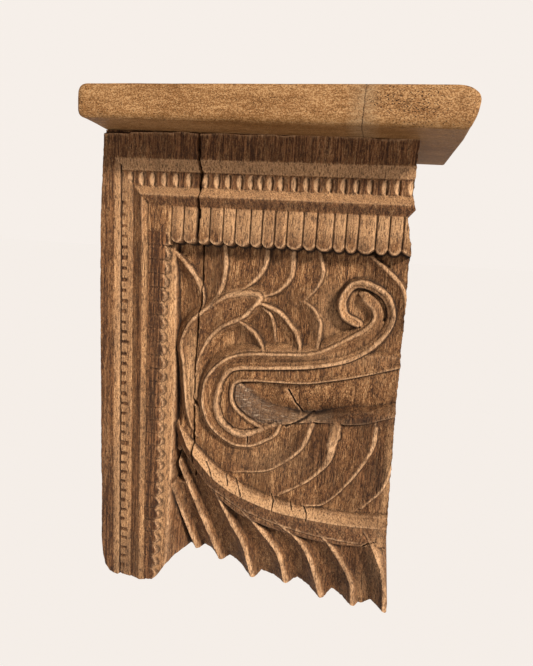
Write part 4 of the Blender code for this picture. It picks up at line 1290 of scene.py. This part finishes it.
# %% Teak: gloss and surface
TEAK_SPECULAR = 0.25
TEAK_GLOSS = ("fibres", (0.3, 0.7, 0.62, 0.8))
TEAK_PITS = (0.56, 0.66, 0.0, -0.5)
TEAK_BUMP = (1.0, 0.8)

raised = add_node(tree, "Math", [("operation", "ADD")], links=[(0, found["fibres"]), (1, found["speckle"])])
finish_wood(tree, shader, found, TEAK_SPECULAR, TEAK_GLOSS, raised.outputs[0], TEAK_PITS, TEAK_BUMP)
block_mesh.materials.append(teak)
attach(block, "root")
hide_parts("carved_corbel")
print("teak nodes:", len(tree.nodes))

# %% [markdown]
# ## The plank
#
# The plank is a lighter, tan board, sawn square and then worn round at every edge, most of all at its
# ends. A bevel modifier would round all edges alike. Here the skin of a box is cut into a fine
# net, and each point is pulled onto the rounded form by a radius that changes from edge to edge.

# %% Shape the plank
PLANK_NET = 2.0
TOP_ROUNDING = 4.0
LOWER_ROUNDING = 7.5
END_RISE = 9.0
RIGHT_REACH = (20.0, 5.0)
LEFT_REACH = (9.0, 9.0)
BACK_SHARE = 0.3
BACK_ROUNDING = 2.0
FRONT_ROUNDING = 3.5
DENT_DEPTH = 0.5
DENT_REACH = 20.0
RIGHT_WORN = 50.0
LEFT_WORN = 40.0
LEFT_SHARE = 0.6
LOWER_SHARE = 0.35
FRONT_KEPT = 12.0
BACK_FADE = 45.0
MOST_ROUNDING = 0.48
BACK_EDGE = 2.0
BACK_EDGE_FADE = 40.0
RAKE_BEND = 1.8
INSIDE_BOX = 0.05


def box_skin(low, high, step):
    """The skin of a box as a bmesh net."""
    shape = bmesh.new()
    bmesh.ops.create_cube(shape, size=1.0)
    size = Vector(high) - Vector(low)
    for axis in range(3):
        cuts = int(size[axis] / step)
        edges = [e for e in shape.edges if abs((e.verts[0].co - e.verts[1].co)[axis]) > 0.9]
        bmesh.ops.subdivide_edges(shape, edges=edges, cuts=cuts, use_grid_fill=True)
    for vert in shape.verts:
        vert.co = Vector([low[a] + (vert.co[a] + 0.5) * size[a] for a in range(3)])
    return shape


def plank_mesh():
    """The plank's mesh: a box skin with rounded edges, raked end and a falling underside."""
    low = (PLANK_START, -PLANK_DEPTH, 0.0)
    high = (PLANK_START + PLANK_LENGTH, 0.0, PLANK_THICKNESS)
    shape = box_skin(low, high, PLANK_NET)
    mesh = bpy.data.meshes.new("worn_plank")
    bmesh.ops.recalc_face_normals(shape, faces=shape.faces)
    shape.to_mesh(mesh)
    shape.free()
    points = np.empty(len(mesh.vertices) * 3)
    mesh.vertices.foreach_get("co", points)
    x, y, z = points.reshape(-1, 3).T
    right = np.clip((x - high[0] + RIGHT_WORN) / RIGHT_WORN, 0, 1)
    left = np.clip((low[0] + LEFT_WORN - x) / LEFT_WORN, 0, 1)
    lower = np.clip(1 - z / PLANK_THICKNESS, 0, 1)
    uneven = 1 + 0.2 * noise(x, y + 2 * z, 30, 30, 11)
    at_ends = END_RISE * np.maximum(right, LEFT_SHARE * left)
    rise = uneven * (TOP_ROUNDING + (LOWER_ROUNDING - TOP_ROUNDING) * lower + at_ends)
    rise = rise * (1 - LOWER_SHARE * lower)
    to_back = 1 - (1 - BACK_SHARE) * np.clip((y + PLANK_DEPTH - FRONT_KEPT) / BACK_FADE, 0, 1)
    rise = np.minimum(rise, MOST_ROUNDING * PLANK_THICKNESS) * to_back
    reach_right = RIGHT_REACH[0] + (RIGHT_REACH[1] - RIGHT_REACH[0]) * lower
    reach_left = LEFT_REACH[0] + (LEFT_REACH[1] - LEFT_REACH[0]) * lower
    along = uneven * to_back * np.where(x > (low[0] + high[0]) / 2, reach_right, reach_left)
    from_back = np.clip((-y - BACK_EDGE) / BACK_EDGE_FADE, 0, 1)
    along, rise = (BACK_ROUNDING + (r - BACK_ROUNDING) * from_back for r in (along, rise))
    radii = (along, np.minimum(rise, FRONT_ROUNDING), rise)
    inner = [np.clip(v, a + r, b - r) for v, a, b, r in zip((x, y, z), low, high, radii)]
    away = np.stack([(v - i) / r for v, i, r in zip((x, y, z), inner, radii)], -1)
    length = np.maximum(np.linalg.norm(away, axis=1), 1e-6)
    pulled = np.stack(inner, -1) + away / length[:, None] * np.stack(radii, -1)
    return mesh, pulled


plank_data, plank_points = plank_mesh()
x, y, z = plank_points.T
dents = DENT_DEPTH * np.clip(noise(x, z + y, 26, 12, 12) + 0.5 * noise(x, z - y, 7, 6, 13), 0, 1)
y = np.where(y < -PLANK_DEPTH + DENT_REACH, y + dents, y)
rake = PLANK_END_RAKE * np.clip(1 - z / PLANK_THICKNESS, 0, 1) ** RAKE_BEND
x = x - rake * np.clip((x - PLANK_START) / PLANK_LENGTH, 0, 1)
z = z + (1 - z / PLANK_THICKNESS) * -UNDERSIDE_FALL * x
x = np.minimum(x, packed_box[1][0] / MM + ORIGIN_X - INSIDE_BOX)
plank_points = np.stack([(x - ORIGIN_X) * MM, y * MM, (z - ORIGIN_Z) * MM], -1)
plank_data.vertices.foreach_set("co", plank_points.ravel())
plank_data.update()
plank = bpy.data.objects.new("worn_plank", plank_data)
bpy.context.scene.collection.objects.link(plank)
print("plank faces:", len(plank_data.polygons))

# %% [markdown]
# ## Oiled tan wood
#
# The plank is newer and lighter than the block: a tan hardwood, sawn, sanded and rubbed with oil.
# Its face shows fine open pores as dark specks, soft mottling and a faint waxy sheen. Underneath
# it is painted darker, painted shade where no light reaches it.

# %% Plank: patterns in the wood
PLANK_PATTERNS = {
    "clouds": ((95.0, 24.0, 15.0), 3.0, 0.6), "mottle": ((9.0, 4.0, 2.4), 4.0, 0.65),
    "speckle": ((1.8, 1.4, 1.2), 2.0, 0.7), "pores": ((1.9, 1.5, 1.2), 1.0, 0.5),
    "wander": ((14.0, 14.0, 5.0), 2.0, 0.5),
}
PLANK_RAMP = ((0.41, "#482B12"), (0.47, "#805730"), (0.515, "#9C7249"), (0.575, "#C99F70"))

plank_wood, tree, shader = new_material("oiled_tan_plank")
here = add_node(tree, "TexCoord").outputs["Object"]
found = grown_patterns(tree, here, PLANK_PATTERNS)
print("patterns in the plank:", len(PLANK_PATTERNS))

# %% Plank: where the seam, the pores and the painted shade of the underside are
# The seam is a drying crack across the plank. It and two nests of open pores are placed in millimetres
# on the block's own axes, and their distance is measured in the material.
SEAM_PLACE = 278.0
SEAM_LEAN = 0.035
SEAM_HALF = 0.9
SEAM_CORE = 0.3
SEAM_WANDER = 3.0
NEAR_SEAM = (2.0, 17.0)
UNDERSIDE = (-6.0, 13.0)
PORE_NESTS = (((331, 213, 15), 24), ((300, 213, 16), 18))
NEST_CORE = 0.3

place = add_node(tree, "SeparateXYZ", links=[(0, here)])
leaning = add_node(tree, "Math", [("operation", "MULTIPLY_ADD")], [(1, -SEAM_LEAN)],
                   [(0, place.outputs[2]), (2, place.outputs[0])])
wandering = add_node(tree, "Math", [("operation", "MULTIPLY_ADD")], [(1, SEAM_WANDER * MM)],
                     [(0, found["wander"]), (2, leaning.outputs[0])])
seam_x = (SEAM_PLACE - ORIGIN_X + SEAM_WANDER / 2 + SEAM_LEAN * ORIGIN_Z) * MM
away = add_node(tree, "Math", [("operation", "SUBTRACT")], [(1, seam_x)], [(0, wandering.outputs[0])])
far = add_node(tree, "Math", [("operation", "ABSOLUTE")], links=[(0, away.outputs[0])]).outputs[0]
low_z = (-ORIGIN_Z + UNDERSIDE[0]) * MM
fades = [("seam", far, SEAM_CORE * MM, SEAM_HALF * MM),
         ("near_seam", far, NEAR_SEAM[0] * MM, NEAR_SEAM[1] * MM),
         ("shaded_underside", place.outputs[2], low_z, low_z + UNDERSIDE[1] * MM)]
for index, ((nest_x, nest_y, nest_z), reach) in enumerate(PORE_NESTS):
    middle = ((nest_x - ORIGIN_X) * MM, -nest_y * MM, (nest_z - ORIGIN_Z) * MM)
    apart = add_node(tree, "VectorMath", [("operation", "DISTANCE")], [(1, middle)], [(0, here)])
    fades.append(("nest_%d" % index, apart.outputs["Value"], NEST_CORE * reach * MM, reach * MM))
for name, measured, full, gone in fades:
    found[name] = add_node(tree, "MapRange", values=enumerate((full, gone, 1.0, 0.0), 1),
                           links=[(0, measured)]).outputs[0]
print("nests of pores:", len(PORE_NESTS))

# %% Plank: colour in layers, gloss and surface
PLANK_LAYERS = (
    # The underside is painted darker as painted shade.
    ("shaded_underside", "mottle", 0.30, 0.70, 0.9, 0.6, "#5C3A10"),
    ("near_seam", "mottle", 0.40, 0.60, 0.2, 0.5, "#A08A6C"),
    ("", "speckle", 0.57, 0.68, 0.0, 0.55, "#5A3C20"),
    ("", "speckle", 0.43, 0.33, 0.0, 0.5, "#C79C68"),
    ("", "pores", 0.63, 0.70, 0.0, 0.75, "#3D2716"),
    ("nest_0", "pores", 0.56, 0.62, 0.0, 0.95, "#2E1B10"),
    ("nest_1", "pores", 0.57, 0.63, 0.0, 0.9, "#2E1B10"),
    ("seam", "speckle", 0.30, 0.60, 0.9, 0.5, "#2E1B10"),
)
PLANK_SHARES = (("clouds", 0.18), ("mottle", 0.2), ("speckle", 0.62))
PLANK_SPECULAR = 0.15
PLANK_GLOSS = ("mottle", (0.3, 0.7, 0.6, 0.72))
PLANK_PITS = (0.60, 0.70, 0.0, -0.6)
PLANK_BUMP = (0.7, 0.5)

colour = layered(tree, found, base_colour(tree, found, PLANK_SHARES, PLANK_RAMP), PLANK_LAYERS)
tree.links.new(colour, shader.inputs["Base Color"])
finish_wood(tree, shader, found, PLANK_SPECULAR, PLANK_GLOSS, found["speckle"], PLANK_PITS, PLANK_BUMP)
plank_data.materials.append(plank_wood)
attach(plank, "root")
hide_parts("shelf_board")
print("plank nodes:", len(tree.nodes))

# %% [markdown]
# ## Light, floor and surroundings
#
# One broad light from the upper right front models the carving, and the pale room fills the
# shadows. The floor lies well below the hanging shelf.

# %% Light the scene
BACKDROP = "#F6EFE9"
KEY_DIRECTION = (0.66, -0.57, 0.48)
KEY_STRENGTH = 4.8
KEY_SOFTNESS = 9.0
FILL_STRENGTH = 0.20
FLOOR_GLOW = 0.30
FLOOR_HEIGHT = -3.0
FLOOR_REACH = 150.0

scene = bpy.context.scene
scene.view_settings.view_transform = "Standard"
key_data = bpy.data.lights.new("window_side", "SUN")
key_data.energy = KEY_STRENGTH
key_data.angle = math.radians(KEY_SOFTNESS)
key_data.color = linear("#FFF6EA")[:3]
key = bpy.data.objects.new("window_side", key_data)
key.rotation_euler = Vector(KEY_DIRECTION).to_track_quat("Z", "Y").to_euler()
scene.collection.objects.link(key)

world = bpy.data.worlds.new("pale_room")
world.use_nodes = True
scene.world = world
tree = world.node_tree
tree.nodes.clear()
seen = add_node(tree, "Background", values=[("Color", linear(BACKDROP)), ("Strength", 1.0)])
fill = add_node(tree, "Background", values=[("Color", linear("#F4EEE8")), ("Strength", FILL_STRENGTH)])
camera_ray = add_node(tree, "LightPath").outputs["Is Camera Ray"]
either = add_node(tree, "MixShader", links=[(0, camera_ray), (1, fill.outputs[0]), (2, seen.outputs[0])])
add_node(tree, "OutputWorld", links=[("Surface", either.outputs[0])])

floor_mesh = bpy.data.meshes.new("pale_floor")
corners = [(-FLOOR_REACH, -FLOOR_REACH), (FLOOR_REACH, -FLOOR_REACH), (FLOOR_REACH, FLOOR_REACH),
           (-FLOOR_REACH, FLOOR_REACH)]
floor_mesh.from_pydata([(x, y, FLOOR_HEIGHT) for x, y in corners], [], [(0, 1, 2, 3)])
floor = bpy.data.objects.new("pale_floor", floor_mesh)
scene.collection.objects.link(floor)
paper, tree, shader = new_material("matt_pale_paper")
shader.inputs["Base Color"].default_value = linear("#D9DADE")
shader.inputs["Roughness"].default_value = 1.0
shader.inputs["Specular IOR Level"].default_value = 0.0
shader.inputs["Emission Color"].default_value = linear(BACKDROP)
shader.inputs["Emission Strength"].default_value = FLOOR_GLOW
floor_mesh.materials.append(paper)
print("light from", KEY_DIRECTION, "floor at", FLOOR_HEIGHT)
